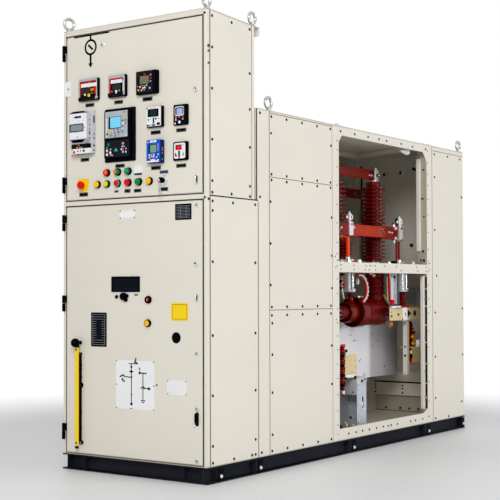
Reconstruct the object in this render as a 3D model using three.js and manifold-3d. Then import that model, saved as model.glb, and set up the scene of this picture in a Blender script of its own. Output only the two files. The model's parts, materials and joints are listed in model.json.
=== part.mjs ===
// High voltage switchgear panel: an instrument and breaker tower in front,
// a long busbar and cable cubicle behind it, both on a frame of steel channels.
// Millimetres, +Z up, front facing -Y, +X to the right of someone facing the front.
// The origin is at floor level, in the middle of the whole outline.

import * as THREE from 'three';
import { mergeVertices } from 'three/addons/utils/BufferGeometryUtils.js';
import Module from 'manifold-3d';

const wasm = await Module();
wasm.setup();

// ---------------------------------------------------------------- driving sizes

const gap = 0.3;                 // between pieces that touch
const sheet = 2;                 // cabinet sheet steel
const roofSheet = 3;

const baseWidth = 940;           // overall width, at the base rails and the roofs
const baseDepth = 2890;          // overall depth without the front fittings
const baseHeight = 80;
const baseFlange = 38;           // toes of the base channels, facing outwards
const baseWeb = 5;
const baseFlangeThickness = 7;
const stiffenerThickness = 6;
const stiffenerPlaces = [414, 1351, 2295, baseDepth - 31];
const frontStiffenerOffset = 320;

const faceInset = 4;             // body faces stand this far inside the base outline
const towerDepth = 405;          // instrument box
const breakerDepth = towerDepth + 33;            // breaker compartment under it
const cubicleStart = towerDepth + 18;            // front of the cubicle over that compartment
const splitHeight = 1380;        // bottom of the instrument box
const cubicleHeight = 1850;
const towerHeight = cubicleHeight + 430;
const towerRoofFall = 18;        // the tower's roof slopes down to the rear
const towerOverhang = 26;        // and overhangs there, with a lip turned down
const towerLip = 44;

const cornerPostFace = 17;       // front face of the tower's corner posts
const cornerPostSide = 28;
const cornerPostWall = 3;
const rearStripWidth = 22;       // flange of the instrument box's back panel
const headerHeight = 30;         // strip over the instrument door
const railHeight = 22;           // strip between the two doors

const doorDepth = 22;            // folded edge of both doors
const doorGap = 6;
const hingeRadius = 8;
const hingeStandOff = 10;        // hinge axis in front of the cabinet face
const hingeInset = 10;           // hinge axis in from the cabinet side
const hingeLength = 84;
const hingeSplit = 1;            // between the two knuckles of a hinge
const upperHinges = [splitHeight + 93, towerHeight - 119];
const lowerHinges = [196, splitHeight - 522, splitHeight - 104];

const stripEnd = cubicleStart + 117;             // end of the strip that joins tower and cubicle
const midPostStart = 1170;
const openingStart = midPostStart + 75;
const openingEnd = 2345;
const rearPostEnd = openingEnd + 75;
const postDepth = 50;            // how far the side posts reach inwards
const postLip = 18;
const middlePanelTop = cubicleHeight - 343;
const lowerPanelTop = middlePanelTop - 685;
const beamBottom = cubicleHeight - 53;
const crossbarTop = cubicleHeight - 766;
const crossbarBottom = crossbarTop - 59;
const crossbarDepth = 40;
const sillTop = 147;
const headChamfers = { front: [34, 40], rear: [50, 58] };       // [along Y, along Z]
const sillChamfer = [60, 24];

const eyeRingRadius = 28;
const eyeBarRadius = 8;
const eyeHeight = 42;
const eyeCollarRadius = 18;
const eyeCollarHeight = 14;
const eyeInset = 20;             // in from the sides
const leftFrontEyeTurn = -22;    // degrees; the other rings stand along the sides

// ---------------------------------------------------------------- materials

function paint(color, roughness = 0.5, metalness = 0.1) {
  return () => new THREE.MeshStandardMaterial({ color, roughness, metalness });
}

const ivoryPaint = paint(0xe0ddd3, 0.5, 0.1);
const basePaint = paint(0x10161f, 0.45, 0.2);
const redResin = paint(0x5a1410, 0.3, 0);
const redBar = paint(0xb02a16, 0.4, 0.1);
const zincPlate = paint(0xb9c2cc, 0.4, 0.8);
const brightMetal = paint(0xc4cad2, 0.3, 0.9);
const whiteSheet = paint(0xeef0f4, 0.5, 0);
const creamPaint = paint(0xdcc690, 0.5, 0);
const blackPlastic = paint(0x17181a, 0.4, 0);
const greyPlastic = paint(0xd8dadb, 0.5, 0);
const yellowPaint = paint(0xf2c200, 0.45, 0.1);

// ---------------------------------------------------------------- building blocks

function slab([x0, x1], [y0, y1], [z0, z1]) {
  const geometry = new THREE.BoxGeometry(x1 - x0, y1 - y0, z1 - z0);
  geometry.translate((x0 + x1) / 2, (y0 + y1) / 2, (z0 + z1) / 2);
  return geometry;
}

function outline(points) {
  const shape = new THREE.Shape();
  points.forEach(([a, b], index) => (index ? shape.lineTo(a, b) : shape.moveTo(a, b)));
  shape.closePath();
  return shape;
}

// A profile in the XY plane, drawn up from z0 to z1.
function column(points, [z0, z1]) {
  const geometry = new THREE.ExtrudeGeometry(outline(points), { depth: z1 - z0, bevelEnabled: false });
  return geometry.translate(0, 0, z0);
}

// A profile in the YZ plane, drawn along X from x0 to x1.
function sidePlate(points, [x0, x1]) {
  const geometry = new THREE.ExtrudeGeometry(outline(points), { depth: x1 - x0, bevelEnabled: false });
  const toSide = new THREE.Matrix4().makeBasis(
    new THREE.Vector3(0, 1, 0),
    new THREE.Vector3(0, 0, 1),
    new THREE.Vector3(1, 0, 0),
  );
  return geometry.applyMatrix4(toSide).translate(x0, 0, 0);
}

// A profile in the XZ plane, drawn along Y from y0 to y1.
function frontPlate(points, [y0, y1]) {
  const geometry = new THREE.ExtrudeGeometry(outline(points), { depth: y1 - y0, bevelEnabled: false });
  return geometry.rotateX(Math.PI / 2).translate(0, y1, 0);
}

// A turned piece standing on z = 0, from [radius, height] pairs that start and end on the axis.
function turned(profile, segments = 16) {
  const points = profile.map(([radius, height]) => new THREE.Vector2(radius, height));
  return new THREE.LatheGeometry(points, segments).rotateX(Math.PI / 2);
}

function rod(radius, length, segments = 16) {
  return turned([[0, 0], [radius, 0], [radius, length], [0, length]], segments);
}

function toSolid(geometry) {
  const bare = geometry.clone();
  bare.deleteAttribute('normal');
  bare.deleteAttribute('uv');
  const merged = mergeVertices(bare, 1e-4);
  return new wasm.Manifold(new wasm.Mesh({
    numProp: 3,
    vertProperties: new Float32Array(merged.attributes.position.array),
    triVerts: new Uint32Array(merged.index.array),
  }));
}

function toGeometry(solid) {
  const mesh = solid.getMesh();
  const geometry = new THREE.BufferGeometry();
  geometry.setAttribute('position', new THREE.BufferAttribute(new Float32Array(mesh.vertProperties), 3));
  geometry.setIndex(new THREE.BufferAttribute(new Uint32Array(mesh.triVerts), 1));
  geometry.computeVertexNormals();
  return geometry;
}

function fuse(...geometries) {
  return toGeometry(geometries.map(toSolid).reduce((whole, next) => whole.add(next)));
}

function cut(body, ...tools) {
  return toGeometry(tools.map(toSolid).reduce((rest, tool) => rest.subtract(tool), toSolid(body)));
}

// ---------------------------------------------------------------- scene graph

const meterDepth = 60;           // the energy meter is the deepest fitting on the front
const panel = new THREE.Group();
panel.name = 'switchgear_panel';
const cabinet = new THREE.Group();
cabinet.position.y = -(baseDepth - meterDepth) / 2;
panel.add(cabinet);

function add(name, geometry, material, [x, y, z] = [0, 0, 0]) {
  const mesh = new THREE.Mesh(geometry, material());
  mesh.name = name;
  mesh.position.set(x, y, z);
  cabinet.add(mesh);
  return mesh;
}

const halfBase = baseWidth / 2;
const halfBody = halfBase - faceInset;
const rearFace = baseDepth - faceInset;
const floorTop = baseHeight + roofSheet;
const sides = { left: -1, right: 1 };

// Geometry made for the right side, turned over for the left.
function onSide(side, geometry) {
  if (sides[side] > 0) {
    return geometry;
  }
  const mirrored = geometry.clone().scale(-1, 1, 1);
  const flipped = mirrored.index ? mirrored.toNonIndexed() : mirrored;
  const position = flipped.attributes.position.array;
  for (let corner = 0; corner < position.length; corner += 9) {
    for (let axis = 0; axis < 3; axis += 1) {
      const kept = position[corner + 3 + axis];
      position[corner + 3 + axis] = position[corner + 6 + axis];
      position[corner + 6 + axis] = kept;
    }
  }
  return toGeometry(toSolid(flipped));
}

// ---------------------------------------------------------------- base frame

// Channel section with its toes along +first and its web at zero, as [first, height] pairs.
const channelSection = [
  [0, 0],
  [baseFlange, 0],
  [baseFlange, baseFlangeThickness],
  [baseWeb, baseFlangeThickness],
  [baseWeb, baseHeight - baseFlangeThickness],
  [baseFlange, baseHeight - baseFlangeThickness],
  [baseFlange, baseHeight],
  [0, baseHeight],
];

function channel(length) {
  const shape = outline(channelSection);
  return new THREE.ExtrudeGeometry(shape, { depth: length, bevelEnabled: false })
    .rotateX(Math.PI / 2)
    .translate(0, length, 0);
}

const ribHeights = [baseFlangeThickness / 2, baseHeight - baseFlangeThickness / 2];

function sideRail() {
  const rail = channel(baseDepth);
  const ribs = stiffenerPlaces.map((place) => slab(
    [baseWeb / 2, baseFlange - 1],
    [place - stiffenerThickness, place],
    ribHeights,
  ));
  return fuse(rail, ...ribs).translate(halfBase - baseFlange, 0, 0);
}

for (const side of Object.keys(sides)) {
  add(`base_rail_${side}`, onSide(side, sideRail()), basePaint);
}

const crossRailHalf = halfBase - baseFlange - gap;

function crossRail() {
  const rail = channel(2 * crossRailHalf).rotateZ(-Math.PI / 2).translate(-crossRailHalf, 0, 0);
  const ribs = [-frontStiffenerOffset, frontStiffenerOffset].map((place) => slab(
    [place - stiffenerThickness / 2, place + stiffenerThickness / 2],
    [1 - baseFlange, -baseWeb / 2],
    ribHeights,
  ));
  return fuse(rail, ...ribs);
}

add('base_rail_front', crossRail(), basePaint, [0, baseFlange, 0]);
const rearRail = crossRail().rotateZ(Math.PI);
add('base_rail_rear', rearRail, basePaint, [0, baseDepth - baseFlange, 0]);

add('floor_plate', slab(
  [-halfBody, halfBody],
  [0, rearFace],
  [baseHeight + gap, floorTop],
), ivoryPaint);

// ---------------------------------------------------------------- eyebolts and roofs

function eyebolt(x, y, z, turn = 0) {
  const ring = new THREE.TorusGeometry(eyeRingRadius, eyeBarRadius, 8, 16)
    .rotateY(Math.PI / 2)
    .translate(0, 0, eyeHeight);
  const collar = turned([
    [0, -2],
    [eyeCollarRadius, -2],
    [eyeCollarRadius, eyeCollarHeight / 2],
    [eyeCollarRadius / 2, eyeCollarHeight + 4],
    [0, eyeCollarHeight + 4],
  ], 12);
  return fuse(ring, collar).rotateZ(THREE.MathUtils.degToRad(turn)).translate(x, y, z);
}

const eyeX = halfBase - eyeInset;
const cubicle = { top: cubicleHeight - roofSheet - gap };

function towerTopAt(y) {
  return towerHeight - towerRoofFall * (y / towerDepth);
}

// The tower's roof has a lip in front, over the instrument door, and one behind.
const doorEdge = halfBody - cornerPostFace;       // where the corner posts' front faces end
const towerRoofEnd = towerDepth + towerOverhang;
const towerEyeRows = [24, towerRoofEnd - 21];
add('tower_roof', fuse(
  sidePlate([
    [0, towerTopAt(0)],
    [0, towerTopAt(0) - roofSheet],
    [towerRoofEnd - roofSheet, towerTopAt(towerRoofEnd - roofSheet) - roofSheet],
    [towerRoofEnd - roofSheet, towerTopAt(towerRoofEnd) - towerLip],
    [towerRoofEnd, towerTopAt(towerRoofEnd) - towerLip],
    [towerRoofEnd, towerTopAt(towerRoofEnd)],
  ], [-halfBase, halfBase]),
  slab(
    [-doorEdge + gap, doorEdge - gap],
    [0, doorDepth],
    [towerHeight - headerHeight, towerHeight - roofSheet],
  ),
  eyebolt(-eyeX, towerEyeRows[0], towerTopAt(towerEyeRows[0]), leftFrontEyeTurn),
  eyebolt(eyeX, towerEyeRows[0], towerTopAt(towerEyeRows[0])),
  eyebolt(-eyeX, towerEyeRows[1], towerTopAt(towerEyeRows[1])),
  eyebolt(eyeX, towerEyeRows[1], towerTopAt(towerEyeRows[1])),
), ivoryPaint);

// The long roof carries two rails under it: one along it and one slanting across it.
const roofRail = { width: 30, height: 32 };
const longRail = { right: -140, ends: [2150, 2580] };
const slantRail = { start: [-155, 2530], end: [340, 2330] };
const cubicleEyeRows = [cubicleStart + 132, baseDepth - 40];
const railHeights = [cubicle.top - roofRail.height, cubicle.top + 1];

function slantingRail() {
  const alongX = slantRail.end[0] - slantRail.start[0];
  const alongY = slantRail.end[1] - slantRail.start[1];
  return slab([0, Math.hypot(alongX, alongY)], [-roofRail.width / 2, roofRail.width / 2], railHeights)
    .rotateZ(Math.atan2(alongY, alongX))
    .translate(...slantRail.start, 0);
}

add('cubicle_roof', fuse(
  slab(
    [-halfBase, halfBase],
    [cubicleStart + gap, baseDepth],
    [cubicleHeight - roofSheet, cubicleHeight],
  ),
  slab([longRail.right - roofRail.width, longRail.right], longRail.ends, railHeights),
  slantingRail(),
  ...cubicleEyeRows.flatMap((row) => [-eyeX, eyeX].map((x) => eyebolt(x, row, cubicleHeight))),
), ivoryPaint);

// ---------------------------------------------------------------- tower

function cornerPost() {
  return column([
    [doorEdge, 0],
    [halfBody, 0],
    [halfBody, cornerPostSide],
    [halfBody - cornerPostWall, cornerPostSide],
    [halfBody - cornerPostWall, cornerPostWall],
    [doorEdge, cornerPostWall],
  ], [floorTop + gap, towerTopAt(cornerPostSide) - roofSheet - gap]);
}

// Each hinge has a fixed knuckle on the left corner post and a turning one on the door above it.
const hingeAxisX = -(halfBody - hingeInset);
const hingeLeaf = { front: -hingeStandOff + 4, back: -1, overDoor: 30 };
const doorHalf = doorEdge - doorGap;

function knuckle(z0, z1, ...leaves) {
  const barrel = rod(hingeRadius, z1 - z0, 12).translate(hingeAxisX, -hingeStandOff, z0);
  return fuse(barrel, ...leaves.map(([x, y]) => slab(x, y, [z0, z1])));
}

function fixedKnuckle(center) {
  return knuckle(
    center - hingeLength / 2,
    center - hingeSplit / 2,
    [[-halfBody + 1, -doorEdge - 2], [hingeLeaf.front, 1]],
  );
}

function doorKnuckle(center) {
  return knuckle(
    center + hingeSplit / 2,
    center + hingeLength / 2,
    [[hingeAxisX, -doorHalf + hingeLeaf.overDoor], [hingeLeaf.front, hingeLeaf.back]],
    [[-doorHalf + 2, -doorHalf + hingeLeaf.overDoor], [hingeLeaf.back - 1, 1]],
  );
}

const leftPost = onSide('left', cornerPost());
const knuckles = [...lowerHinges, ...upperHinges].map(fixedKnuckle);
add('corner_post_left', fuse(leftPost, ...knuckles), ivoryPaint);
add('corner_post_right', cornerPost(), ivoryPaint);

// The instrument box's floor, with the strip between the two doors along its front.
const doorRail = [splitHeight + 6 - railHeight, splitHeight + 6];
add('instrument_floor', fuse(
  slab(
    [-halfBody + sheet + gap, halfBody - sheet - gap],
    [cornerPostSide + gap, towerDepth - sheet - gap],
    [splitHeight, splitHeight + sheet],
  ),
  slab([-doorEdge + gap, doorEdge - gap], [0, cornerPostSide + 2 * gap], doorRail),
), ivoryPaint);

const instrumentSide = [cornerPostSide + gap, towerDepth - rearStripWidth - gap];
for (const side of Object.keys(sides)) {
  add(`instrument_side_${side}`, onSide(side, sidePlate([
    [instrumentSide[0], splitHeight],
    [instrumentSide[1], splitHeight],
    [instrumentSide[1], towerTopAt(instrumentSide[1]) - roofSheet - gap],
    [instrumentSide[0], towerTopAt(instrumentSide[0]) - roofSheet - gap],
  ], [halfBody - sheet, halfBody])), ivoryPaint);
  add(`breaker_side_${side}`, onSide(side, slab(
    [halfBody - sheet, halfBody],
    [cornerPostSide + gap, breakerDepth - gap],
    [floorTop + gap, splitHeight - gap],
  )), ivoryPaint);
}

add('instrument_back', column([
  [-halfBody, towerDepth - rearStripWidth],
  [-halfBody + sheet, towerDepth - rearStripWidth],
  [-halfBody + sheet, towerDepth - sheet],
  [halfBody - sheet, towerDepth - sheet],
  [halfBody - sheet, towerDepth - rearStripWidth],
  [halfBody, towerDepth - rearStripWidth],
  [halfBody, towerDepth],
  [-halfBody, towerDepth],
], [splitHeight, towerTopAt(towerDepth) - roofSheet - gap]), ivoryPaint);

// ---------------------------------------------------------------- doors

function doorPan(z0, z1) {
  const outer = slab([-doorHalf, doorHalf], [0, doorDepth], [z0, z1]);
  const inside = doorHalf - sheet;
  const hollow = slab([-inside, inside], [sheet, doorDepth + 1], [z0 + sheet, z1 - sheet]);
  return cut(outer, hollow);
}

const upperDoor = [doorRail[1] + doorGap, towerHeight - headerHeight - doorGap];
const lowerDoor = [floorTop + doorGap, doorRail[0] - doorGap];
add('instrument_door', fuse(doorPan(...upperDoor), ...upperHinges.map(doorKnuckle)), ivoryPaint);
add('breaker_door', fuse(doorPan(...lowerDoor), ...lowerHinges.map(doorKnuckle)), ivoryPaint);

// ---------------------------------------------------------------- cubicle sides

const wallFoot = floorTop + gap;

function jointStrip() {
  return sidePlate([
    [breakerDepth + gap, wallFoot],
    [stripEnd - gap, wallFoot],
    [stripEnd - gap, cubicle.top],
    [cubicleStart + gap, cubicle.top],
    [cubicleStart + gap, splitHeight + gap],
    [breakerDepth + gap, splitHeight + gap],
  ], [halfBody - sheet, halfBody]);
}

// A C shaped post seen from above: face outwards, two flanks and two lips inside.
function sidePost(y0, y1) {
  return column([
    [halfBody, y0],
    [halfBody, y1],
    [halfBody - postDepth, y1],
    [halfBody - postDepth, y1 - postLip],
    [halfBody - postDepth + sheet, y1 - postLip],
    [halfBody - postDepth + sheet, y1 - sheet],
    [halfBody - sheet, y1 - sheet],
    [halfBody - sheet, y0 + sheet],
    [halfBody - postDepth + sheet, y0 + sheet],
    [halfBody - postDepth + sheet, y0 + postLip],
    [halfBody - postDepth, y0 + postLip],
    [halfBody - postDepth, y0],
  ], [wallFoot, cubicle.top]);
}

const panelLevels = {
  bottom: [wallFoot, lowerPanelTop - gap],
  middle: [lowerPanelTop + gap, middlePanelTop - gap],
  top: [middlePanelTop + gap, cubicle.top],
};

for (const side of Object.keys(sides)) {
  add(`joint_strip_${side}`, onSide(side, jointStrip()), ivoryPaint);
  for (const [level, [z0, z1]] of Object.entries(panelLevels)) {
    add(`side_panel_${side}_${level}`, onSide(side, slab(
      [halfBody - sheet, halfBody],
      [stripEnd, midPostStart - gap],
      [z0, z1],
    )), ivoryPaint);
  }
  add(`rear_side_${side}`, onSide(side, slab(
    [halfBody - sheet, halfBody],
    [rearPostEnd + gap, rearFace - sheet - gap],
    [wallFoot, cubicle.top],
  )), ivoryPaint);
}

// The opening on the right, with its posts, head, crossbar and sill.
// The rear post carries an upright edge strip, bent forward, over and under the crossbar.
const edgeStrip = {
  reach: 24,
  upper: { width: 25, heights: [crossbarTop + 86, cubicleHeight - 90] },
  lower: { width: 4, heights: [sillTop + 22, crossbarBottom - 12] },
};

function edgeStripAt({ width, heights }) {
  const left = halfBody - postDepth - width;
  return fuse(
    slab([left, left + sheet], [openingEnd - edgeStrip.reach, openingEnd + sheet], heights),
    slab([left, halfBody - postDepth + sheet / 2], [openingEnd, openingEnd + sheet], heights),
  );
}
add('mid_post', sidePost(midPostStart, openingStart), ivoryPaint);
add('rear_post', fuse(
  sidePost(openingEnd, rearPostEnd),
  edgeStripAt(edgeStrip.upper),
  edgeStripAt(edgeStrip.lower),
), ivoryPaint);

const clear = [openingStart + gap, openingEnd - gap];
add('opening_head', sidePlate([
  [clear[0], cubicle.top],
  [clear[0], beamBottom - headChamfers.front[1]],
  [clear[0] + headChamfers.front[0], beamBottom],
  [clear[1] - headChamfers.rear[0], beamBottom],
  [clear[1], beamBottom - headChamfers.rear[1]],
  [clear[1], cubicle.top],
], [halfBody - sheet, halfBody]), ivoryPaint);

add('opening_crossbar', fuse(
  slab([halfBody - sheet, halfBody], clear, [crossbarBottom, crossbarTop]),
  slab([halfBody - crossbarDepth, halfBody - 1], clear, [crossbarTop - sheet, crossbarTop]),
  slab([halfBody - crossbarDepth, halfBody - 1], clear, [crossbarBottom, crossbarBottom + sheet]),
), ivoryPaint);

add('opening_sill', sidePlate([
  [clear[0], wallFoot],
  [clear[0], sillTop],
  [clear[1] - sillChamfer[0], sillTop],
  [clear[1], sillTop + sillChamfer[1]],
  [clear[1], wallFoot],
], [halfBody - sheet, halfBody]), ivoryPaint);

// The same bay on the left is closed by two covers.
const coverSplit = (crossbarBottom + crossbarTop) / 2;
const covers = { lower: [wallFoot, coverSplit - gap], upper: [coverSplit + gap, cubicle.top] };
for (const [level, heights] of Object.entries(covers)) {
  const cover = slab([-halfBody, -halfBody + sheet], [midPostStart, rearPostEnd], heights);
  add(`left_cover_${level}`, cover, ivoryPaint);
}

// One joggled sheet closes the back of the breaker compartment and the cubicle's front above it.
const joggle = {
  low: breakerDepth - gap,
  high: cubicleStart + gap + sheet,
  level: splitHeight + 2 * gap + sheet,
};
add('cubicle_front', sidePlate([
  [joggle.low - sheet, wallFoot],
  [joggle.low, wallFoot],
  [joggle.low, joggle.level + sheet],
  [joggle.high, joggle.level + sheet],
  [joggle.high, cubicle.top],
  [joggle.high - sheet, cubicle.top],
  [joggle.high - sheet, joggle.level],
  [joggle.low - sheet, joggle.level],
], [-halfBody + sheet + gap, halfBody - sheet - gap]), ivoryPaint);

// Rear wall with its inner stiffening: two rails across, one upright over the shelf, one under it.
const rearInner = rearFace - sheet;
const wallRails = { margin: 60, depth: 25, heights: [[194, 287], [307, 361]] };
const wallUpright = { width: 30, upper: { left: -345, depth: 30 }, lower: { left: -255, depth: 40 } };

function wallUprightAt({ left, depth }, heights) {
  return slab([left, left + wallUpright.width], [rearInner - depth, rearInner + 1], heights);
}

add('rear_wall', fuse(
  slab([-halfBody, halfBody], [rearInner, rearFace], [wallFoot, cubicle.top]),
  ...wallRails.heights.map((heights) => slab(
    [-halfBody + wallRails.margin, halfBody - wallRails.margin],
    [rearInner - wallRails.depth, rearInner + 1],
    heights,
  )),
  wallUprightAt(wallUpright.upper, [crossbarTop + 20, cubicle.top - 30]),
  wallUprightAt(wallUpright.lower, [wallFoot, crossbarBottom - 20]),
), ivoryPaint);

// Shelf between the busbar space and the cable space.
const shelfTop = crossbarTop - sheet - gap;
const shelf = [shelfTop - roofSheet, shelfTop];
const shelfEnd = rearInner - wallUpright.lower.depth - 5;
add('cubicle_shelf', slab(
  [-halfBody + postDepth + gap, halfBody - postDepth - gap],
  [openingStart, shelfEnd],
  shelf,
), ivoryPaint);

// ---------------------------------------------------------------- busbar space

const phaseX = halfBody - 266;
const insulatorPlaces = { front: 1632, rear: 2128 };
const shedPitches = { front: 25, rear: 24.2 };
const insulatorTop = beamBottom - 177;
const insulatorCore = 44;
const insulatorShed = 74;
const shedThickness = 9;
const insulatorFoot = 22;
const insulatorFootRadius = 52;
const insulatorCap = 40;
const insulatorStud = 14;
const smoothFoot = 22;

// A post insulator standing on z = 0: metal foot, ribbed resin core, smooth cap, stud.
function postInsulator(height, pitch, shedRadius = insulatorShed) {
  const last = height - insulatorCap - pitch / 2;
  const count = Math.floor((last - insulatorFoot - smoothFoot) / pitch) + 1;
  const first = last - (count - 1) * pitch;
  const profile = [
    [0, 0],
    [insulatorFootRadius, 0],
    [insulatorFootRadius, insulatorFoot],
    [insulatorCore, insulatorFoot],
  ];
  for (let shed = 0; shed < count; shed += 1) {
    const level = first + shed * pitch;
    profile.push([insulatorCore, level - shedThickness / 2]);
    profile.push([shedRadius, level - shedThickness / 4]);
    profile.push([insulatorCore, level + shedThickness / 2]);
  }
  profile.push([insulatorCore + 6, height - insulatorCap + 4]);
  profile.push([insulatorCore + 6, height - 16]);
  profile.push([insulatorCore - 14, height - 8]);
  profile.push([insulatorStud, height - 8]);
  profile.push([insulatorStud, height]);
  profile.push([0, height]);
  return turned(profile, 12);
}

const standLevel = shelfTop + gap;
for (const [place, y] of Object.entries(insulatorPlaces)) {
  const insulator = postInsulator(insulatorTop - standLevel, shedPitches[place]);
  add(`post_insulator_${place}`, insulator, redResin, [phaseX, y, standLevel]);
}

const barThickness = 12;
const barHeight = 62;
const barOverhang = 34;
add('busbar_upper', slab(
  [phaseX - barThickness / 2, phaseX + barThickness / 2],
  [insulatorPlaces.front - barOverhang, insulatorPlaces.rear + barOverhang],
  [insulatorTop + gap, insulatorTop + gap + barHeight],
), redBar);

// The phase behind it: two more insulators and their bar.
const farPhase = { x: phaseX - 300, places: [2000, 2650], top: insulatorTop - 82, pitch: 23.6 };
add('far_phase', fuse(
  ...farPhase.places.map((y) => postInsulator(farPhase.top - standLevel, farPhase.pitch)
    .translate(farPhase.x, y, standLevel)),
  slab(
    [farPhase.x - barThickness / 2, farPhase.x + barThickness / 2],
    [farPhase.places[0] - barOverhang, farPhase.places[1] + barOverhang],
    [farPhase.top - 1, farPhase.top + barHeight],
  ),
), redResin);

// The link bar runs in front of the insulators. A short insulator and two thin posts carry it.
const linkX = halfBody - 154;
const linkBar = { y: [1490, 2230], bottom: standLevel + 168, height: 68, thickness: 14 };
const linkBlock = { thickness: 22, below: 8, above: 4, front: [1486, 1595], rear: [2056, 2222] };
const linkInsulator = { y: 1540, radius: 70, pitch: 19 };
const linkPosts = [
  { clamp: 1627, rod: [linkX + 68, 1489] },
  { clamp: 2262, rod: [linkX - 12, 2278] },
];
const linkRodRadius = 11;
const linkFoot = { radius: 21, height: 14 };
const clampSize = { width: 46, height: 96, thickness: 8 };
const linkBarFace = linkX + linkBar.thickness / 2;
const linkBarTop = linkBar.bottom + linkBar.height;

// Moulded covers close round both ends of the bar.
function linkCover(y) {
  return slab(
    [linkX - linkBlock.thickness / 2, linkX + linkBlock.thickness / 2],
    y,
    [linkBar.bottom - linkBlock.below, linkBarTop + linkBlock.above],
  );
}
add('link_bar', fuse(
  slab([linkX - linkBar.thickness / 2, linkBarFace], linkBar.y, [linkBar.bottom, linkBarTop]),
  linkCover(linkBlock.front),
  linkCover(linkBlock.rear),
), redBar);

const linkInsulatorHeight = linkBar.bottom - linkBlock.below - gap - standLevel;
add(
  'link_insulator',
  postInsulator(linkInsulatorHeight, linkInsulator.pitch, linkInsulator.radius),
  redResin,
  [linkX, linkInsulator.y, standLevel],
);

function linkPost(place) {
  const face = linkBarFace + gap;
  const middle = linkBar.bottom + linkBar.height / 2;
  const clampFoot = middle - clampSize.height / 2;
  const clampSides = [place.clamp - clampSize.width / 2, place.clamp + clampSize.width / 2];
  const clampPlate = slab(
    [face, face + clampSize.thickness],
    clampSides,
    [clampFoot, middle + clampSize.height / 2],
  );
  const [rodX, rodY] = place.rod;
  const headLevel = [clampFoot, clampFoot + clampSize.thickness];
  const arm = slab(
    [Math.min(face, rodX - linkRodRadius), Math.max(face + clampSize.thickness, rodX + linkRodRadius)],
    clampSides,
    headLevel,
  );
  const head = slab(
    [rodX - linkRodRadius, rodX + linkRodRadius],
    [Math.min(clampSides[0], rodY - linkRodRadius), Math.max(clampSides[1], rodY + linkRodRadius)],
    headLevel,
  );
  const upright = rod(linkRodRadius, clampFoot + 1 - standLevel, 12);
  const foot = rod(linkFoot.radius, linkFoot.height, 12);
  const axis = [rodX, rodY, standLevel];
  return fuse(clampPlate, arm, head, upright.translate(...axis), foot.translate(...axis));
}
linkPosts.forEach((place, index) => add(`link_post_${index + 1}`, linkPost(place), brightMetal));

// ---------------------------------------------------------------- cable space

const shelfUnder = shelf[0] - gap;
const transformerAxis = shelfUnder - 291;
const transformerElbow = 2122;
const neckRadius = 62;
// [radius, distance in front of the neck] of the stepped resin body, from its rear flange forwards.
const transformerSteps = [
  [88, -43],
  [88, 32],
  [84, 32],
  [84, 213],
  [94, 213],
  [94, 294],
  [74, 304],
  [64, 304],
  [64, 395],
  [42, 403],
  [42, 470],
];

// Two bright shielding tubes hang under the shelf, the front one over the resin body.
const tubeRadius = 35;
const tubeBottom = transformerAxis + 125;
const tubes = { front: [phaseX, 1812], rear: [linkX, 2300] };
const saddleRadius = 19;

function transformer() {
  const rear = transformerSteps[0][1];
  const nose = transformerSteps[transformerSteps.length - 1][1];
  const body = turned([[0, rear], ...transformerSteps, [0, nose]], 24).rotateX(Math.PI / 2);
  const neck = rod(neckRadius, shelfUnder - transformerAxis, 24);
  const saddle = rod(saddleRadius, tubeBottom - gap - transformerAxis)
    .translate(0, tubes.front[1] - transformerElbow, 0);
  return fuse(body, neck, saddle);
}
add('current_transformer', transformer(), redResin, [phaseX, transformerElbow, transformerAxis]);

for (const [place, [x, y]] of Object.entries(tubes)) {
  const tube = rod(tubeRadius, shelfUnder - tubeBottom, 20);
  add(`shield_tube_${place}`, tube, brightMetal, [x, y, tubeBottom]);
}

// The rear tube stands on a small ribbed insulator on the upper cream bracket.
const bracketTop = tubeBottom - 102;
const bracketSheet = 4;
const supportHeight = tubeBottom - bracketTop - 2 * gap;
const supportRings = 3;
const supportCore = 18;
const supportProfile = [[0, 0], [32, 0], [32, 18], [20, 22]];
for (let ring = 0; ring < supportRings; ring += 1) {
  const level = 26 + ring * ((supportHeight - 32) / supportRings);
  supportProfile.push([supportCore, level], [supportCore + 8, level + 4], [supportCore, level + 8]);
}
supportProfile.push([supportCore, supportHeight], [0, supportHeight]);
const supportBase = [...tubes.rear, bracketTop + gap];
add('support_insulator', turned(supportProfile, 12), redResin, supportBase);

// Two angles of cream sheet reach back to the rear wall, joined by a galvanised post.
function creamAngle(left, right, start, [bottom, top]) {
  const run = [start, rearInner - gap];
  return fuse(
    slab([left, right], run, [top - bracketSheet, top]),
    slab([right - bracketSheet, right], run, [bottom, top]),
  );
}

const bracketPost = { start: 2308, width: 28, wall: 3, bottom: 380 };
const upperBracket = { left: linkX - 14, right: linkX + 40, start: 2055, depth: 77 };
const lowerBracket = { left: linkX - 26, right: linkX + 22, start: 2395, bottom: 457, depth: 97 };
add('cream_bracket_upper', creamAngle(
  upperBracket.left,
  upperBracket.right,
  upperBracket.start,
  [bracketTop - upperBracket.depth, bracketTop],
), creamPaint);
add('cream_bracket_lower', creamAngle(
  lowerBracket.left,
  lowerBracket.right,
  lowerBracket.start,
  [lowerBracket.bottom, lowerBracket.bottom + lowerBracket.depth],
), creamPaint);
const postEnds = {
  x: [linkX, linkX + bracketPost.width],
  y: [bracketPost.start, bracketPost.start + bracketPost.width],
};
add('bracket_post', column([
  [postEnds.x[0], postEnds.y[0]],
  [postEnds.x[1], postEnds.y[0]],
  [postEnds.x[1], postEnds.y[1]],
  [postEnds.x[1] - bracketPost.wall, postEnds.y[1]],
  [postEnds.x[1] - bracketPost.wall, postEnds.y[0] + bracketPost.wall],
  [postEnds.x[0], postEnds.y[0] + bracketPost.wall],
], [bracketPost.bottom, bracketTop - bracketSheet - gap]), zincPlate);

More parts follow.
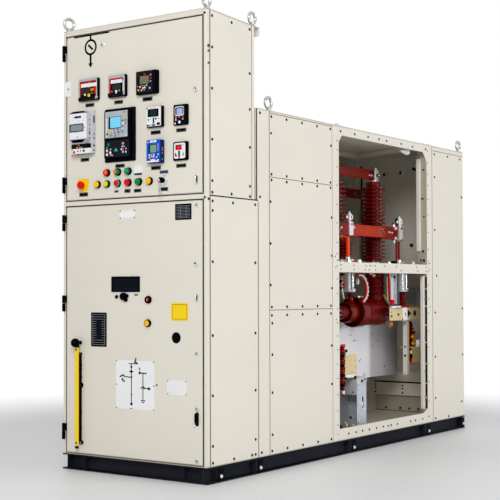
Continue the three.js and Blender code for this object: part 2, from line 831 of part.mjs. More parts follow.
// A white insulating sheet hangs from the shelf behind the transformer.
const barrier = {
  x: phaseX - 108,
  thickness: 3,
  y: [1850, 2640],
  bottom: 360,
  top: transformerAxis - 27,
};
const hanger = { y: [2320, 2356], overlap: 10 };
const barrierFaces = [barrier.x, barrier.x + barrier.thickness];
add('barrier_sheet', fuse(
  slab(barrierFaces, barrier.y, [barrier.bottom, barrier.top]),
  slab(barrierFaces, hanger.y, [barrier.top - hanger.overlap, shelfUnder]),
), whiteSheet);

// A folded galvanised column for the cables stands at the front of the opening.
const cableColumn = { x: [halfBody - 196, halfBody - 76], y: [1574, 1684], wall: 3, top: 404 };
add('cable_column', column([
  [cableColumn.x[0], cableColumn.y[0]],
  [cableColumn.x[0] + cableColumn.wall, cableColumn.y[0]],
  [cableColumn.x[0] + cableColumn.wall, cableColumn.y[1] - cableColumn.wall],
  [cableColumn.x[1] - cableColumn.wall, cableColumn.y[1] - cableColumn.wall],
  [cableColumn.x[1] - cableColumn.wall, cableColumn.y[0]],
  [cableColumn.x[1], cableColumn.y[0]],
  [cableColumn.x[1], cableColumn.y[1]],
  [cableColumn.x[0], cableColumn.y[1]],
], [wallFoot, cableColumn.top]), zincPlate);

// ---------------------------------------------------------------- front fittings

// Each fitting is placed from the door's left edge and from the split between the doors.
const doorLeft = -doorHalf;

function span(start, length) {
  return [start, start + length];
}

function boxOnDoor({ left, up, width, height, depth }) {
  return slab(span(doorLeft + left, width), [-gap - depth, -gap], span(splitHeight + up, height));
}

// The energy meter: a flat housing, its terminal block, and a cover with cut corners.
const meter = { left: 57, up: 246, width: 145, height: 222, depth: 26 };
const meterTerminals = { left: 62, up: 246, width: 135, height: 26, depth: 40 };
const meterCover = { left: 70, up: 296, width: 122, height: 167, corner: 24 };

function cutCornerPlate({ left, up, width, height, corner }, depths) {
  const [x0, x1] = span(doorLeft + left, width);
  const [z0, z1] = span(splitHeight + up, height);
  return frontPlate([
    [x0, z0 + corner],
    [x0 + corner, z0],
    [x1 - corner, z0],
    [x1, z0 + corner],
    [x1, z1 - corner / 2],
    [x1 - corner, z1],
    [x0 + corner, z1],
    [x0, z1 - corner / 2],
  ], depths);
}

add('energy_meter', fuse(
  boxOnDoor(meter),
  boxOnDoor(meterTerminals),
  cutCornerPlate(meterCover, [-meterDepth, 1 - meter.depth]),
), greyPlastic);

const relayFrame = { left: 270, up: 193, width: 201, height: 270, depth: 8 };
const relayBody = { left: 283, up: 211, width: 174, height: 241, depth: 32 };
add('protection_relay', fuse(boxOnDoor(relayFrame), boxOnDoor(relayBody)), blackPlastic);

const powerMeter = { left: 487, up: 514, width: 134, height: 117, depth: 26 };
const leftSupplyMeter = { left: 93, up: 520, width: 138, height: 113, depth: 15 };
const rightSupplyMeter = { left: 297, up: 520, width: 119, height: 111, depth: 16 };
add('power_meter', boxOnDoor(powerMeter), blackPlastic);
add('supply_meter_left', boxOnDoor(leftSupplyMeter), blackPlastic);
add('supply_meter_right', boxOnDoor(rightSupplyMeter), blackPlastic);

// The lever is clipped to the lower door, clear of it.
const lever = { left: 88, width: 20, back: 22, depth: 12, bottom: 131, length: 505 };
add('operating_lever', slab(
  span(doorLeft + lever.left, lever.width),
  [-lever.back - lever.depth, -lever.back],
  span(lever.bottom, lever.length),
), yellowPaint);

export default panel;
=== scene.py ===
"""High voltage switchgear panel: the looks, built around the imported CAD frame."""

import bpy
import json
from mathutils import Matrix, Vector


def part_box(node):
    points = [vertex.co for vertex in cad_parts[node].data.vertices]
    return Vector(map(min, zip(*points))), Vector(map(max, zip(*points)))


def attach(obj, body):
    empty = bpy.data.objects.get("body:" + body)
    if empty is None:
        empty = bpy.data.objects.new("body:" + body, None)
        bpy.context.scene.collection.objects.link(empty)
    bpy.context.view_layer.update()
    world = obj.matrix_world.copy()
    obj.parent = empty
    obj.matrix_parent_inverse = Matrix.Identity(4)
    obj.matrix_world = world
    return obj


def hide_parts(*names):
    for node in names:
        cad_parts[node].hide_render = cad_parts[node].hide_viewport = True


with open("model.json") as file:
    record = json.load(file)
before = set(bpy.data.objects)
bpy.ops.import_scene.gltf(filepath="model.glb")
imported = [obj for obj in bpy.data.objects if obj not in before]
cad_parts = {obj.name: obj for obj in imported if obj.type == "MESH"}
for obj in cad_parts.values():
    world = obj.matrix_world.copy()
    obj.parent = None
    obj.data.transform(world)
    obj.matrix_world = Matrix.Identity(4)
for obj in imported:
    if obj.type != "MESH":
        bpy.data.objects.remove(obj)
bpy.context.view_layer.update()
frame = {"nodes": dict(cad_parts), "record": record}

import json
import math

import bmesh
import bpy
from mathutils import Matrix, Vector

# Lengths are millimetres: x from the middle, y back from the cabinet's front face, z from the floor.
MM = 0.001
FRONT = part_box("floor_plate")[0].y
CABINET, UPPER_LEAF, LOWER_LEAF = "cabinet", "instrument_door_leaf", "breaker_door_leaf"


def limits(name):
    """A CAD node's extent: x from and to, y from and to, z from and to."""
    low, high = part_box(name)
    spans = (low.x, high.x), (low.y - FRONT, high.y - FRONT), (low.z, high.z)
    return [value / MM for span in spans for value in span]


# ---------------------------------------------------------------- materials

DUST = (0.3, 0.27, 0.22)
SPANGLE_DARK = (0.6, 0.63, 0.68)


def node(tree, kind, **settings):
    made = tree.nodes.new(kind)
    for key, value in settings.items():
        name = key.replace("_", " ").title()
        if name in made.inputs:
            made.inputs[name].default_value = value
        else:
            setattr(made, key, value)
    return made


def wire(tree, *pairs):
    for source, target in pairs:
        tree.links.new(source, target)


def ramp(tree, source, *stops):
    made = tree.nodes.new("ShaderNodeValToRGB")
    elements = made.color_ramp.elements
    while len(elements) < len(stops):
        elements.new(0.5)
    for element, (position, colour) in zip(elements, stops):
        element.position = position
        element.color = (*colour, 1)
    wire(tree, (source, made.inputs["Fac"]))
    return made.outputs["Color"]


def shade(colour, factor):
    return tuple(min(1.0, channel * factor) for channel in colour)


def blend(tree, factor, first, second, mode="MIX"):
    mix = node(tree, "ShaderNodeMix", data_type="RGBA", blend_type=mode)
    for socket, value in ((mix.inputs[0], factor), (mix.inputs[6], first), (mix.inputs[7], second)):
        if isinstance(value, tuple):
            socket.default_value = (*value, 1)
        elif isinstance(value, float):
            socket.default_value = value
        else:
            wire(tree, (value, socket))
    return mix.outputs[2]


def dust(most):
    """A fade towards dust near the floor."""
    return "Z", 0.4, 0.0, most, DUST


def surface(name, colour, rough, metallic=0.0, grain=900, bump=0.3, vary=0.05, mottle=3, rough_vary=0.06,
            stretch=(1, 1, 1), spangle=0, glow=0.0, shine=0.25, fade=()):
    """Paint, moulding or metal: mottled colour, broken gloss, fine grain (bump in mm) and a fade."""
    mat = bpy.data.materials.new(name)
    mat.use_nodes = True
    tree = mat.node_tree
    shader = tree.nodes["Principled BSDF"]
    place = node(tree, "ShaderNodeTexCoord").outputs["Object"]
    mapped = node(tree, "ShaderNodeMapping", scale=stretch)
    wide = node(tree, "ShaderNodeTexNoise", scale=mottle, detail=5.0, roughness=0.6)
    fine = node(tree, "ShaderNodeTexNoise", scale=grain, detail=3.0, roughness=0.55)
    wire(tree, (place, mapped.inputs["Vector"]), (place, wide.inputs["Vector"]),
         (mapped.outputs["Vector"], fine.inputs["Vector"]))
    tint = ramp(tree, wide.outputs["Fac"],
                (0.3, shade(colour, 1 - vary)), (0.5, colour), (0.7, shade(colour, 1 + vary)))
    if spangle:
        cells = node(tree, "ShaderNodeTexVoronoi", scale=spangle)
        wire(tree, (place, cells.inputs["Vector"]))
        tone = ramp(tree, cells.outputs["Color"], (0.2, SPANGLE_DARK), (0.8, (1, 1, 1)))
        tint = blend(tree, 0.5, tint, tone, "MULTIPLY")
    # The fade is dust near the floor on the paints, and painted shade on the white sheet.
    if fade:
        axis, start, end, most, far = fade
        split = node(tree, "ShaderNodeSeparateXYZ")
        reach = node(tree, "ShaderNodeMapRange", from_min=start, from_max=end, to_min=0.0, to_max=most)
        patchy = node(tree, "ShaderNodeMath", operation="MULTIPLY")
        wire(tree, (place, split.inputs[0]), (split.outputs[axis], reach.inputs["Value"]),
             (reach.outputs["Result"], patchy.inputs[0]), (wide.outputs["Fac"], patchy.inputs[1]))
        tint = blend(tree, patchy.outputs[0], tint, far)
    gloss = node(tree, "ShaderNodeMapRange", to_min=rough - rough_vary, to_max=rough + rough_vary)
    height = node(tree, "ShaderNodeBump", strength=0.35, distance=bump * MM)
    wire(tree, (wide.outputs["Fac"], gloss.inputs["Value"]), (fine.outputs["Fac"], height.inputs["Height"]),
         (tint, shader.inputs["Base Color"]), (gloss.outputs["Result"], shader.inputs["Roughness"]),
         (height.outputs["Normal"], shader.inputs["Normal"]))
    shader.inputs["Metallic"].default_value = metallic
    shader.inputs["Specular IOR Level"].default_value = shine
    shader.inputs["Emission Color"].default_value = (*colour, 1)
    shader.inputs["Emission Strength"].default_value = glow
    return mat


def plastic(name, colour, rough=0.3, shine=0.1):
    return surface(name, colour, rough, grain=1400, bump=0.2, vary=0.07, mottle=40, shine=shine)


def display(name, colour, glow=0.0):
    return surface(name, colour, 0.14, grain=1800, bump=0.04, vary=0.06, mottle=30,
                   rough_vary=0.03, shine=0.05, glow=glow)


def resin(name, colour, rough, **more):
    return surface(name, colour, rough, grain=260, vary=0.2, mottle=9, **more)


def sleeve(name, colour, vary):
    return surface(name, colour, 0.34, grain=520, bump=0.4, vary=vary, mottle=14, shine=0.08)


# The materials of the CAD slots
PAINT = surface("cabinet_paint", (0.745, 0.71, 0.625), 0.44, grain=620, bump=0.6, vary=0.02, mottle=2.2,
                fade=dust(0.12))
BASE = surface("base_paint", (0.005, 0.008, 0.015), 0.5, grain=420, bump=0.8, vary=0.25, shine=0.04,
               fade=dust(0.06))
RESIN = resin("red_resin", (0.14, 0.002, 0.0005), 0.14, rough_vary=0.03, shine=0.12)
DARK_RESIN = resin("shaded_resin", (0.035, 0.002, 0.001), 0.4, shine=0.05)
SLEEVE = sleeve("busbar_sleeve", (0.4, 0.024, 0.004), 0.12)
# Painted shade: a darker copy of the busbar sleeve, for the top busbar that lies in shade.
SHADED_SLEEVE = sleeve("shaded_sleeve", (0.17, 0.009, 0.002), 0.2)
BRIGHT = surface("bright_metal", (0.66, 0.68, 0.71), 0.24, 1.0, grain=260, stretch=(1, 1, 0.06))
ZINC = surface("zinc_plate", (0.58, 0.62, 0.67), 0.42, 0.3, grain=350, bump=0.4, vary=0.06, spangle=80)
CREAM = surface("cream_paint", (0.7, 0.55, 0.3), 0.4, grain=520, bump=0.5)
# Painted shade: towards its rear edge the white sheet fades to dark grey, as if shaded by the bracket post.
WHITE_SHADED_TO_REAR = surface("white_sheet", (0.9, 0.9, 0.93), 0.4, grain=320, vary=0.02,
                fade=("Y", 1.0, 1.24, 1.7, (0.1, 0.105, 0.12)))
GREY = surface("grey_plastic", (0.6, 0.61, 0.64), 0.4, grain=1100, bump=0.4, vary=0.03)
BLACK = surface("black_plastic", (0.0012, 0.0012, 0.002), 0.4, grain=1100, bump=0.5, vary=0.2, shine=0.02)
YELLOW = surface("yellow_paint", (0.94, 0.64, 0.002), 0.34, grain=600, bump=0.4)
SLOT_MATERIALS = dict(
    cabinet_paint=PAINT, base_paint=BASE, cream_paint=CREAM, white_sheet=WHITE_SHADED_TO_REAR, zinc_plate=ZINC)

# The other metals, mouldings and labels
TUBE = surface("polished_tube", (0.62, 0.66, 0.71), 0.25, 0.2, grain=260, bump=0.2, stretch=(1, 1, 0.06))
PLATED = surface("silver_plate", (0.78, 0.78, 0.8), 0.3, 0.35, grain=500, vary=0.08, mottle=40)
EYE_STEEL = surface("eyebolt_steel", (0.5, 0.5, 0.48), 0.22, 0.85, grain=500, vary=0.15, mottle=40)
STEEL = surface("dark_steel", (0.012, 0.013, 0.018), 0.4, 0.1, bump=0.4, vary=0.2, mottle=60, shine=0.08)
CHROME = surface("chrome", (0.74, 0.75, 0.77), 0.13, 1.0, grain=700, bump=0.1, vary=0.04, mottle=40)
# Painted shade: near-black parts drawn where holes, slots and gaps show only shade.
HOLE_SHADE = surface("recess_shade", (0.008, 0.007, 0.007), 0.8, grain=500, bump=0.4, vary=0.2, shine=0.1)
# Rubber for the door seals; the seam lines also draw painted shade with this material.
RUBBER_AND_GAP_SHADE = surface("rubber", (0.012, 0.011, 0.01), 0.6, grain=800, bump=0.6, vary=0.2, shine=0.06)
PLATE = surface("label_white", (0.84, 0.845, 0.86), 0.3, bump=0.2, vary=0.02)
BRASS = surface("brass", (0.6, 0.36, 0.1), 0.3, 0.9, grain=600, vary=0.1, mottle=40)
NAVY = plastic("navy_plastic", (0.002, 0.003, 0.01), 0.38, 0.04)
RED = plastic("red_plastic", (0.72, 0.004, 0.004))
MAROON = plastic("maroon_plastic", (0.2, 0.003, 0.002))
GLOSS_ORANGE = plastic("orange_sleeve", (0.85, 0.045, 0.004), 0.25, 0.2)
GREEN_YELLOW = plastic("earth_sleeve", (0.4, 0.5, 0.03), 0.36, 0.25)
ORANGE = plastic("orange_plastic", (0.85, 0.17, 0.004), shine=0.12)
AMBER = plastic("amber_plastic", (0.93, 0.52, 0.004), shine=0.12)
GREEN = plastic("green_plastic", (0.003, 0.21, 0.055))
TEAL = plastic("teal_plastic", (0.02, 0.4, 0.33), 0.3, 0.25)
BLUE = plastic("blue_plastic", (0.005, 0.11, 0.62), 0.32)
DEEP_BLUE = plastic("deep_blue_plastic", (0.004, 0.012, 0.09), 0.34, 0.08)
MILK = plastic("white_plastic", (0.82, 0.83, 0.85), 0.3, 0.25)
SILVER = plastic("silver_plastic", (0.42, 0.44, 0.49), 0.34, 0.25)
BEIGE = plastic("beige_plastic", (0.68, 0.56, 0.38), 0.34, 0.25)
PINK = plastic("pink_plastic", (0.72, 0.3, 0.27), 0.32, 0.25)
CHARCOAL = plastic("charcoal_plastic", (0.009, 0.011, 0.02), 0.4, 0.04)
TAN = plastic("tan_plastic", (0.2, 0.16, 0.11), 0.4, 0.25)
# Painted shade: a darker copy of the cabinet paint, for inside faces that lie in shade.
SHADED_INNER_PAINT = surface("inner_paint_painted_shade", (0.42, 0.375, 0.29), 0.5, grain=620, bump=0.6, vary=0.04, mottle=4)
GLASS = display("black_glass", (0.001, 0.003, 0.007))
LCD_CYAN = display("screen_cyan", (0.19, 0.6, 0.84), 0.12)
LCD_SAGE = display("screen_sage", (0.15, 0.17, 0.105), 0.03)
LCD_DARK = display("screen_dark_green", (0.008, 0.026, 0.018))
LCD_OLIVE = display("screen_olive", (0.03, 0.028, 0.017))
LCD_GREY = display("screen_grey", (0.23, 0.29, 0.32), 0.03)
LCD_BLUE = display("screen_blue", (0.32, 0.44, 0.68), 0.08)
LCD_GREEN = display("screen_green", (0.17, 0.33, 0.2), 0.05)
LCD_RED = display("screen_red", (0.75, 0.012, 0.02), 0.5)


# ---------------------------------------------------------------- mesh building

SHARP = math.radians(33)
SPINS = {
    "Z": Matrix.Identity(4), "-Z": Matrix.Rotation(math.pi, 4, "X"),
    "X": Matrix.Rotation(math.pi / 2, 4, "Y"), "-X": Matrix.Rotation(-math.pi / 2, 4, "Y"),
    "Y": Matrix.Rotation(-math.pi / 2, 4, "X"), "-Y": Matrix.Rotation(math.pi / 2, 4, "X"),
}


def spread(first, last, count):
    """Evenly spaced places, both ends included."""
    return [first + (last - first) * i / (count - 1) for i in range(count)]


def around(middle, half):
    """A span about its middle."""
    return middle - half, middle + half


def polar(radius, degrees):
    """Points of a circle about its middle."""
    return [(radius * math.cos(t), radius * math.sin(t)) for t in map(math.radians, degrees)]


def loop(count, wide, high=None):
    """Evenly spaced points round a whole circle or oval."""
    angles = [2 * math.pi * i / count for i in range(count)]
    return [(wide * math.cos(t), (high or wide) * math.sin(t)) for t in angles]


def rounded(a0, a1, b0, b1, radius, steps=5):
    """A rectangle with round corners."""
    points = []
    for a, b, start in ((a1 - radius, b1 - radius, 0), (a0 + radius, b1 - radius, 90),
                        (a0 + radius, b0 + radius, 180), (a1 - radius, b0 + radius, 270)):
        points += [(a + da, b + db) for da, db in polar(radius, spread(start, start + 90, steps + 1))]
    return points


def facing(axis, x, y, z, scale=1.0, roll=0.0):
    """Where a template made on z = 0, looking up, stands when it looks along an axis."""
    spin = SPINS[axis] @ Matrix.Rotation(math.radians(roll), 4, "Z")
    return Matrix.Translation((x, y, z)) @ spin @ Matrix.Scale(scale, 4)


def peg(radius, straight, top, tip):
    """The profile of a straight peg that narrows to a flat top."""
    return [(radius, 0), (radius, straight), (top, tip), (0, tip)]


def dome(radius, straight, tip):
    """The profile of a straight peg that rises to a low point."""
    return [(radius, 0), (radius, straight), (0, tip)]


class Maker:
    """Collects solids, in mm, into one mesh with several materials."""

    def __init__(self):
        self.bm = bmesh.new()
        self.materials = []

    def slot(self, mat):
        if mat not in self.materials:
            self.materials.append(mat)
        return self.materials.index(mat)

    def keep(self, part, mat, turn=None):
        slot = self.slot(mat)
        for face in part.faces:
            face.material_index = slot
        if turn is not None:
            part.transform(turn)
        mesh = bpy.data.meshes.new("part")
        part.to_mesh(mesh)
        part.free()
        self.bm.from_mesh(mesh)
        bpy.data.meshes.remove(mesh)

    def soften(self, part, bevel, segments):
        if bevel:
            soften_edges(part, sharp_edges(part), bevel, segments)
            smooth(part)

    def box(self, x, y, z, mat, bevel=0.6, segments=2, turn=None):
        part = cube(x, y, z)
        self.soften(part, bevel, segments)
        self.keep(part, mat, turn)

    def prism(self, points, axis, span, mat, bevel, segments=2):
        """A profile drawn along an axis: (y, z) points for X, (x, z) for Y, (x, y) for Z."""
        along = "XYZ".index(axis)
        part = bmesh.new()
        ends = []
        for level in span:
            ring = []
            for point in points:
                corner = list(point)
                corner.insert(along, level)
                ring.append(part.verts.new(corner))
            ends.append(ring)
        low, high = ends
        part.faces.new(low)
        part.faces.new(high)
        for i, j in zip(range(-1, len(points) - 1), range(len(points))):
            part.faces.new((low[i], low[j], high[j], high[i]))
        bmesh.ops.recalc_face_normals(part, faces=part.faces)
        self.soften(part, bevel, segments)
        self.keep(part, mat)

    def turned(self, profile, base, mat, axis="Z", segments=32, squash=(1, 1)):
        """A turned solid: (radius, height) pairs from the base outwards along an axis."""
        part = bmesh.new()
        rings = []
        for radius, height in profile:
            circle = loop(segments, radius * squash[0], radius * squash[1]) if radius else [(0, 0)]
            rings.append([part.verts.new((a, b, height)) for a, b in circle])
        for lower, upper in zip(rings, rings[1:]):
            for i in range(segments):
                j = (i + 1) % segments
                corners = dict.fromkeys((lower[i % len(lower)], lower[j % len(lower)],
                                         upper[j % len(upper)], upper[i % len(upper)]))
                if len(corners) > 2:
                    part.faces.new(tuple(corners))
        smooth(part)
        bmesh.ops.recalc_face_normals(part, faces=part.faces)
        self.keep(part, mat, Matrix.Translation(base) @ SPINS[axis])

    def plate(self, x0, x1, z0, z1, front, back, mat, bevel, corner=0, segments=2, steps=5):
        """A plate between two distances in front of y = 0; its corners may be round."""
        if corner:
            self.prism(rounded(x0, x1, z0, z1, corner, steps), "Y", (-front, -back), mat, bevel, segments)
        else:
            self.box((x0, x1), (-front, -back), (z0, z1), mat, bevel, segments)

    def dial(self, x, z, profile, mat, segments=28, out=0.1, squash=(1, 1)):
        """A turned solid that starts a distance in front of y = 0 and looks along -Y."""
        self.turned(profile, (x, -out, z), mat, "-Y", segments, squash)

    def boss(self, place, profile, mat, segments=16, squash=(1, 1)):
        """A turned solid that looks along X."""
        self.turned(profile, place, mat, "X", segments, squash)

    def tube(self, path, radius, mat, section=12, closed=False):
        """A round bar bent along a path of points."""
        points = [Vector(p) for p in path]
        count = len(points)
        part = bmesh.new()
        rings = []
        side = None
        for i, point in enumerate(points):
            before = points[i - 1] if (i or closed) else point
            after = points[(i + 1) % count] if (i + 1 < count or closed) else point
            along = (after - before).normalized()
            if side is None:
                side = along.orthogonal().normalized()
            side = (side - along * side.dot(along)).normalized()
            other = along.cross(side)
            rings.append([part.verts.new(point + radius * (side * a + other * b))
                          for a, b in loop(section, 1)])
        for lower, upper in zip(rings, rings[1:] + rings[:1] if closed else rings[1:]):
            for i in range(section):
                j = (i + 1) % section
                part.faces.new((lower[i], upper[i], upper[j], lower[j]))
        if not closed:
            part.faces.new(rings[0])
            part.faces.new(rings[-1])
        smooth(part)
        bmesh.ops.recalc_face_normals(part, faces=part.faces)
        self.keep(part, mat)

    def stamp(self, template, *matrices):
        """Copies of a finished small assembly."""
        slots = [self.slot(mat) for mat in template.materials]
        source = bpy.data.meshes.new("template")
        template.bm.to_mesh(source)
        for polygon in source.polygons:
            polygon.material_index = slots[polygon.material_index]
        for matrix in matrices:
            copy = source.copy()
            copy.transform(matrix)
            self.bm.from_mesh(copy)
            bpy.data.meshes.remove(copy)
        bpy.data.meshes.remove(source)

    def fix(self, template, axis, level, *places):
        """Fixings on a face that looks along X or -Y: places are (y, z) or (x, z), then scale and roll."""
        across = 0 if axis == "X" else 1               # how many coordinates come before the level
        for place in places:
            self.stamp(template, facing(axis, *place[:across], level, *place[across:]))

    def finish(self, name, body, slot, *replaced):
        """The collected mesh as a piece of the object, riding on a body."""
        for edge in self.bm.edges:
            if edge.calc_face_angle(0) > SHARP:
                edge.smooth = False
        self.bm.transform(Matrix.Translation((0, FRONT, 0)) @ Matrix.Scale(MM, 4))
        mesh = bpy.data.meshes.new(name)
        self.bm.to_mesh(mesh)
        self.bm.free()
        for mat in self.materials:
            mesh.materials.append(mat)
        piece(name, mesh, body, slot, *replaced)

    def stand_for(self, name):
        """The collected mesh in the place of a CAD node."""
        self.finish(name + "_worked", body_of[name], slot_of[name], name)


def cube(x, y, z):
    """A box between the two ends of each span."""
    part = bmesh.new()
    bmesh.ops.create_cube(part, size=1)
    for v in part.verts:
        v.co = [span[v.co[axis] > 0] for axis, span in enumerate((x, y, z))]
    return part


def sharp_edges(part):
    return [edge for edge in part.edges if edge.calc_face_angle(0) > SHARP]


def soften_edges(part, edges, offset, segments):
    bmesh.ops.bevel(part, geom=edges, offset=offset, segments=segments, affect="EDGES", clamp_overlap=True)


def smooth(part):
    for face in part.faces:
        face.smooth = True


def piece(name, mesh, body, slot, *replaced):
    made = bpy.data.objects.new(name, mesh)
    bpy.context.scene.collection.objects.link(made)
    modifier = made.modifiers.new("even_normals", "WEIGHTED_NORMAL")
    modifier.keep_sharp = True
    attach(made, body)
    if replaced:
        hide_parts(*replaced)


# ---------------------------------------------------------------- sizes read from the CAD

SIDE, CUBICLE_TOP = limits("side_panel_right_top")[1], limits("side_panel_right_top")[5] + 3.3
FLOOR_TOP = limits("floor_plate")[5]
UPPER_LOW, UPPER_HIGH = limits("instrument_door")[4:]
_, DOOR_HALF, _, DOOR_BACK, LOWER_LOW, LOWER_HIGH = limits("breaker_door")
SHEET = 2
ROOF_SHEET = 3
TOWER_TOP, TOWER_END = UPPER_HIGH + 36, limits("tower_roof")[3]
TOWER_FALL = 18 / 405
_, ROOF_HALF, CUBICLE_START, CUBICLE_END, _, _ = limits("cubicle_roof")
SHELF_UNDER, SHELF_TOP = limits("cubicle_shelf")[4:]
REAR_WALL_INSIDE = limits("floor_plate")[3] - SHEET
hinge_place = frame["record"]["behaviour"]["joints"][0]["pos_m"]
HINGE_X, HINGE_Y = hinge_place[0] / MM, (hinge_place[1] - FRONT) / MM
HINGES = {UPPER_LEAF: (1473, 2161), LOWER_LEAF: (196, 858, 1276)}
HINGE_HALF = 42

slot_of = {row["node"]: row["material_slot"] for row in frame["record"]["subparts"]}
body_of = {n: b for b, members in frame["record"]["behaviour"]["bodies"].items() for n in members}


# ---------------------------------------------------------------- small fixings, made once

def template(*turned):
    """A small assembly of turned solids, each a profile, a material and a number of segments."""
    made = Maker()
    for profile, mat, segments in turned:
        made.turned(profile, (0, 0, 0), mat, segments=segments)
    return made


def hex_bolt(size=8.5, head=6, washer=13, mat=ZINC):
    """A hexagon head, with a nut's chamfer, on a washer."""
    return template(
        ([(0, -0.5), (washer, -0.5), (washer, 1.6), (washer - 0.6, 2.2), (0, 2.2)], BRIGHT, 20),
        ([(size, 2), (size, 1 + head), (size - 1.2, 2 + head), (0, 2 + head)], mat, 6))


# A button head with a hexagon socket on a thin washer, a rivet, and bolts.
SCREW = template(
    ([(0, -0.5), (7.4, -0.5), (7.4, 0.5), (7, 0.8), (0, 0.8)], STEEL, 16),
    ([(6.6, 0.6), (6.5, 2), (5.4, 3.3), (3.6, 3.9), (3.2, 3.9), (2.8, 1.4), (0, 1.4)], STEEL, 16))
RIVET = template(([(4.2, -0.3), (4.1, 0.8), (3, 1.6), (1.5, 1.9), (1.1, 0.8), (0, 0.8)], STEEL, 10))
BOLT, SMALL_BOLT, ROOF_BOLT = hex_bolt(), hex_bolt(5.5, 4, 8.5), hex_bolt(8.5, 7, 11)
DARK_BOLT = hex_bolt(7, 5, 9.5, STEEL)
WHITE_BOLT, NAVY_BOLT = hex_bolt(7, 5, 9, PLATED), hex_bolt(7, 5, 9, DEEP_BLUE)


# ---------------------------------------------------------------- sheet metal with worked edges

def worked(name, bevel=0.7, outer=0.0, side=None):
    """A CAD node with rounded edges, standing for it; the edges of one outer face may be rounder."""
    bm = bmesh.new()
    bm.from_mesh(frame["nodes"][name].data)
    bmesh.ops.remove_doubles(bm, verts=bm.verts, dist=1e-6)
    bmesh.ops.dissolve_limit(bm, angle_limit=0.01, verts=bm.verts, edges=bm.edges)
    if outer:
        axis, sign = side
        level = sign * max(sign * v.co[axis] for v in bm.verts)
        edges = [e for e in sharp_edges(bm) if all(abs(v.co[axis] - level) < 1e-5 for v in e.verts)]
        soften_edges(bm, edges, outer * MM, 3)
    soften_edges(bm, sharp_edges(bm), bevel * MM, 2)
    smooth(bm)
    for face in bm.faces:
        face.material_index = 0
    mesh = bpy.data.meshes.new(name + "_worked")
    bm.to_mesh(mesh)
    bm.free()
    mesh.materials.append(SLOT_MATERIALS[slot_of[name]])
    piece(name + "_worked", mesh, body_of[name], slot_of[name], name)


for name in ("floor_plate", "instrument_floor", "cubicle_front", "cubicle_shelf", "rear_wall",
             "barrier_sheet", "cream_bracket_upper", "cream_bracket_lower", "bracket_post", "cable_column",
             "base_rail_left", "base_rail_right", "base_rail_front", "base_rail_rear"):
    worked(name)
worked("corner_post_right", 0.8, 4.0, (0, 1))
worked("instrument_back", 0.8)
for hand, sign in (("left", -1), ("right", 1)):
    for name in ("instrument_side", "breaker_side", "joint_strip", "rear_side"):
        worked(f"{name}_{hand}", 0.6, 1.5, (0, sign))
    for level in ("top", "middle", "bottom"):
        worked(f"side_panel_{hand}_{level}", 0.6, 1.5, (0, sign))
for name, sign in (("mid_post", 1), ("opening_head", 1), ("opening_crossbar", 1), ("opening_sill", 1),
                   ("left_cover_lower", -1), ("left_cover_upper", -1)):
    worked(name, 0.6, 1.5, (0, sign))


# ---------------------------------------------------------------- roofs and eyebolts

def tower_top(y):
    return TOWER_TOP - TOWER_FALL * y


def eyebolt(made, x, y, z, turn=0):
    """A forged ring in the plane of the side, on a collar with a shallow flange."""
    spin = Matrix.Translation((x, y, z)) @ Matrix.Rotation(math.radians(turn), 4, "Z")
    made.tube([spin @ Vector((0, a, 42 + b)) for a, b in loop(40, 28)], 8, EYE_STEEL, 14, closed=True)
    made.turned([(0, -1), (18, -1), (18, 3), (16.5, 5), (12, 6), (10, 9), (9.5, 13), (11, 18), (0, 18)],
                (x, y, z), EYE_STEEL, segments=28)


made = Maker()
end_top, end_inside = tower_top(TOWER_END), TOWER_END - ROOF_SHEET
made.prism([(0, TOWER_TOP), (0, TOWER_TOP - ROOF_SHEET), (end_inside, tower_top(end_inside) - ROOF_SHEET),
            (end_inside, end_top - 44), (TOWER_END, end_top - 44), (TOWER_END, end_top)],
           "X", around(0, ROOF_HALF), PAINT, 1.2)
header = around(0, SIDE - 17.3)
made.box(header, (0, DOOR_BACK), (TOWER_TOP - 30, TOWER_TOP - 14), PAINT, 2.5, 3)
made.box(header, (1.5, DOOR_BACK), (TOWER_TOP - 16, TOWER_TOP - 2.5), PAINT, 1.5, 3)
eye_x = ROOF_HALF - 20
for x, y, turn in ((-eye_x, 24, -22), (eye_x, 24, 0), (-eye_x, 410, 0), (eye_x, 410, 0)):
    eyebolt(made, x, y, tower_top(y), turn)
made.stand_for("tower_roof")

made = Maker()
made.box(around(0, ROOF_HALF), (CUBICLE_START, CUBICLE_END), (CUBICLE_TOP - 3, CUBICLE_TOP), PAINT, 1.2, 3)
rail_heights = (CUBICLE_TOP - 35, CUBICLE_TOP - 2)
made.box((-170, -140), (2150, 2580), rail_heights, PAINT, 3)
slant = math.atan2(-200, 495)
made.box((0, 520), (-15, 15), rail_heights, PAINT, 4, 3,
         Matrix.Translation((-155, 2530, 0)) @ Matrix.Rotation(slant, 4, "Z"))
made.turned([(0, 0), (11, 0), (15, 3), (16, 10), (14, 20), (8, 27), (0, 29)], (333, 2333, CUBICLE_TOP - 20),
            PLATE, "X", squash=(1, 0.75))
for y in (555, 2850):
    for x in (-eye_x, eye_x):
        eyebolt(made, x, y, CUBICLE_TOP)
for y, scale in ((1256, 1.5), (1278, 1.1), (2354, 0.9), (2475, 0.6)):
    made.stamp(ROOF_BOLT, *(facing("Z", x, y, CUBICLE_TOP, scale) for x in (-446, 446)))
made.stand_for("cubicle_roof")


# ---------------------------------------------------------------- doors, hinges and the left corner post

def hinge_half(made, low, high, axis, leaf_x, leaf_y):
    """One knuckle, rounded at its outer end, and the leaf that holds it."""
    length = high - low
    made.turned([(0, 0), (6.8, 0), (7.8, 0.8), (8, 2), (8, length - 3), (7.2, length - 1), (5, length),
                 (0, length)], (HINGE_X, HINGE_Y, low if axis == "Z" else high), BLACK, axis)
    made.box(leaf_x, leaf_y, (low + 2, high - 2), BLACK, 0.8)
    made.box((HINGE_X - 9.5, HINGE_X - 4), around(HINGE_Y, 3), (low + 4, high - 4), PLATED, 1.5)


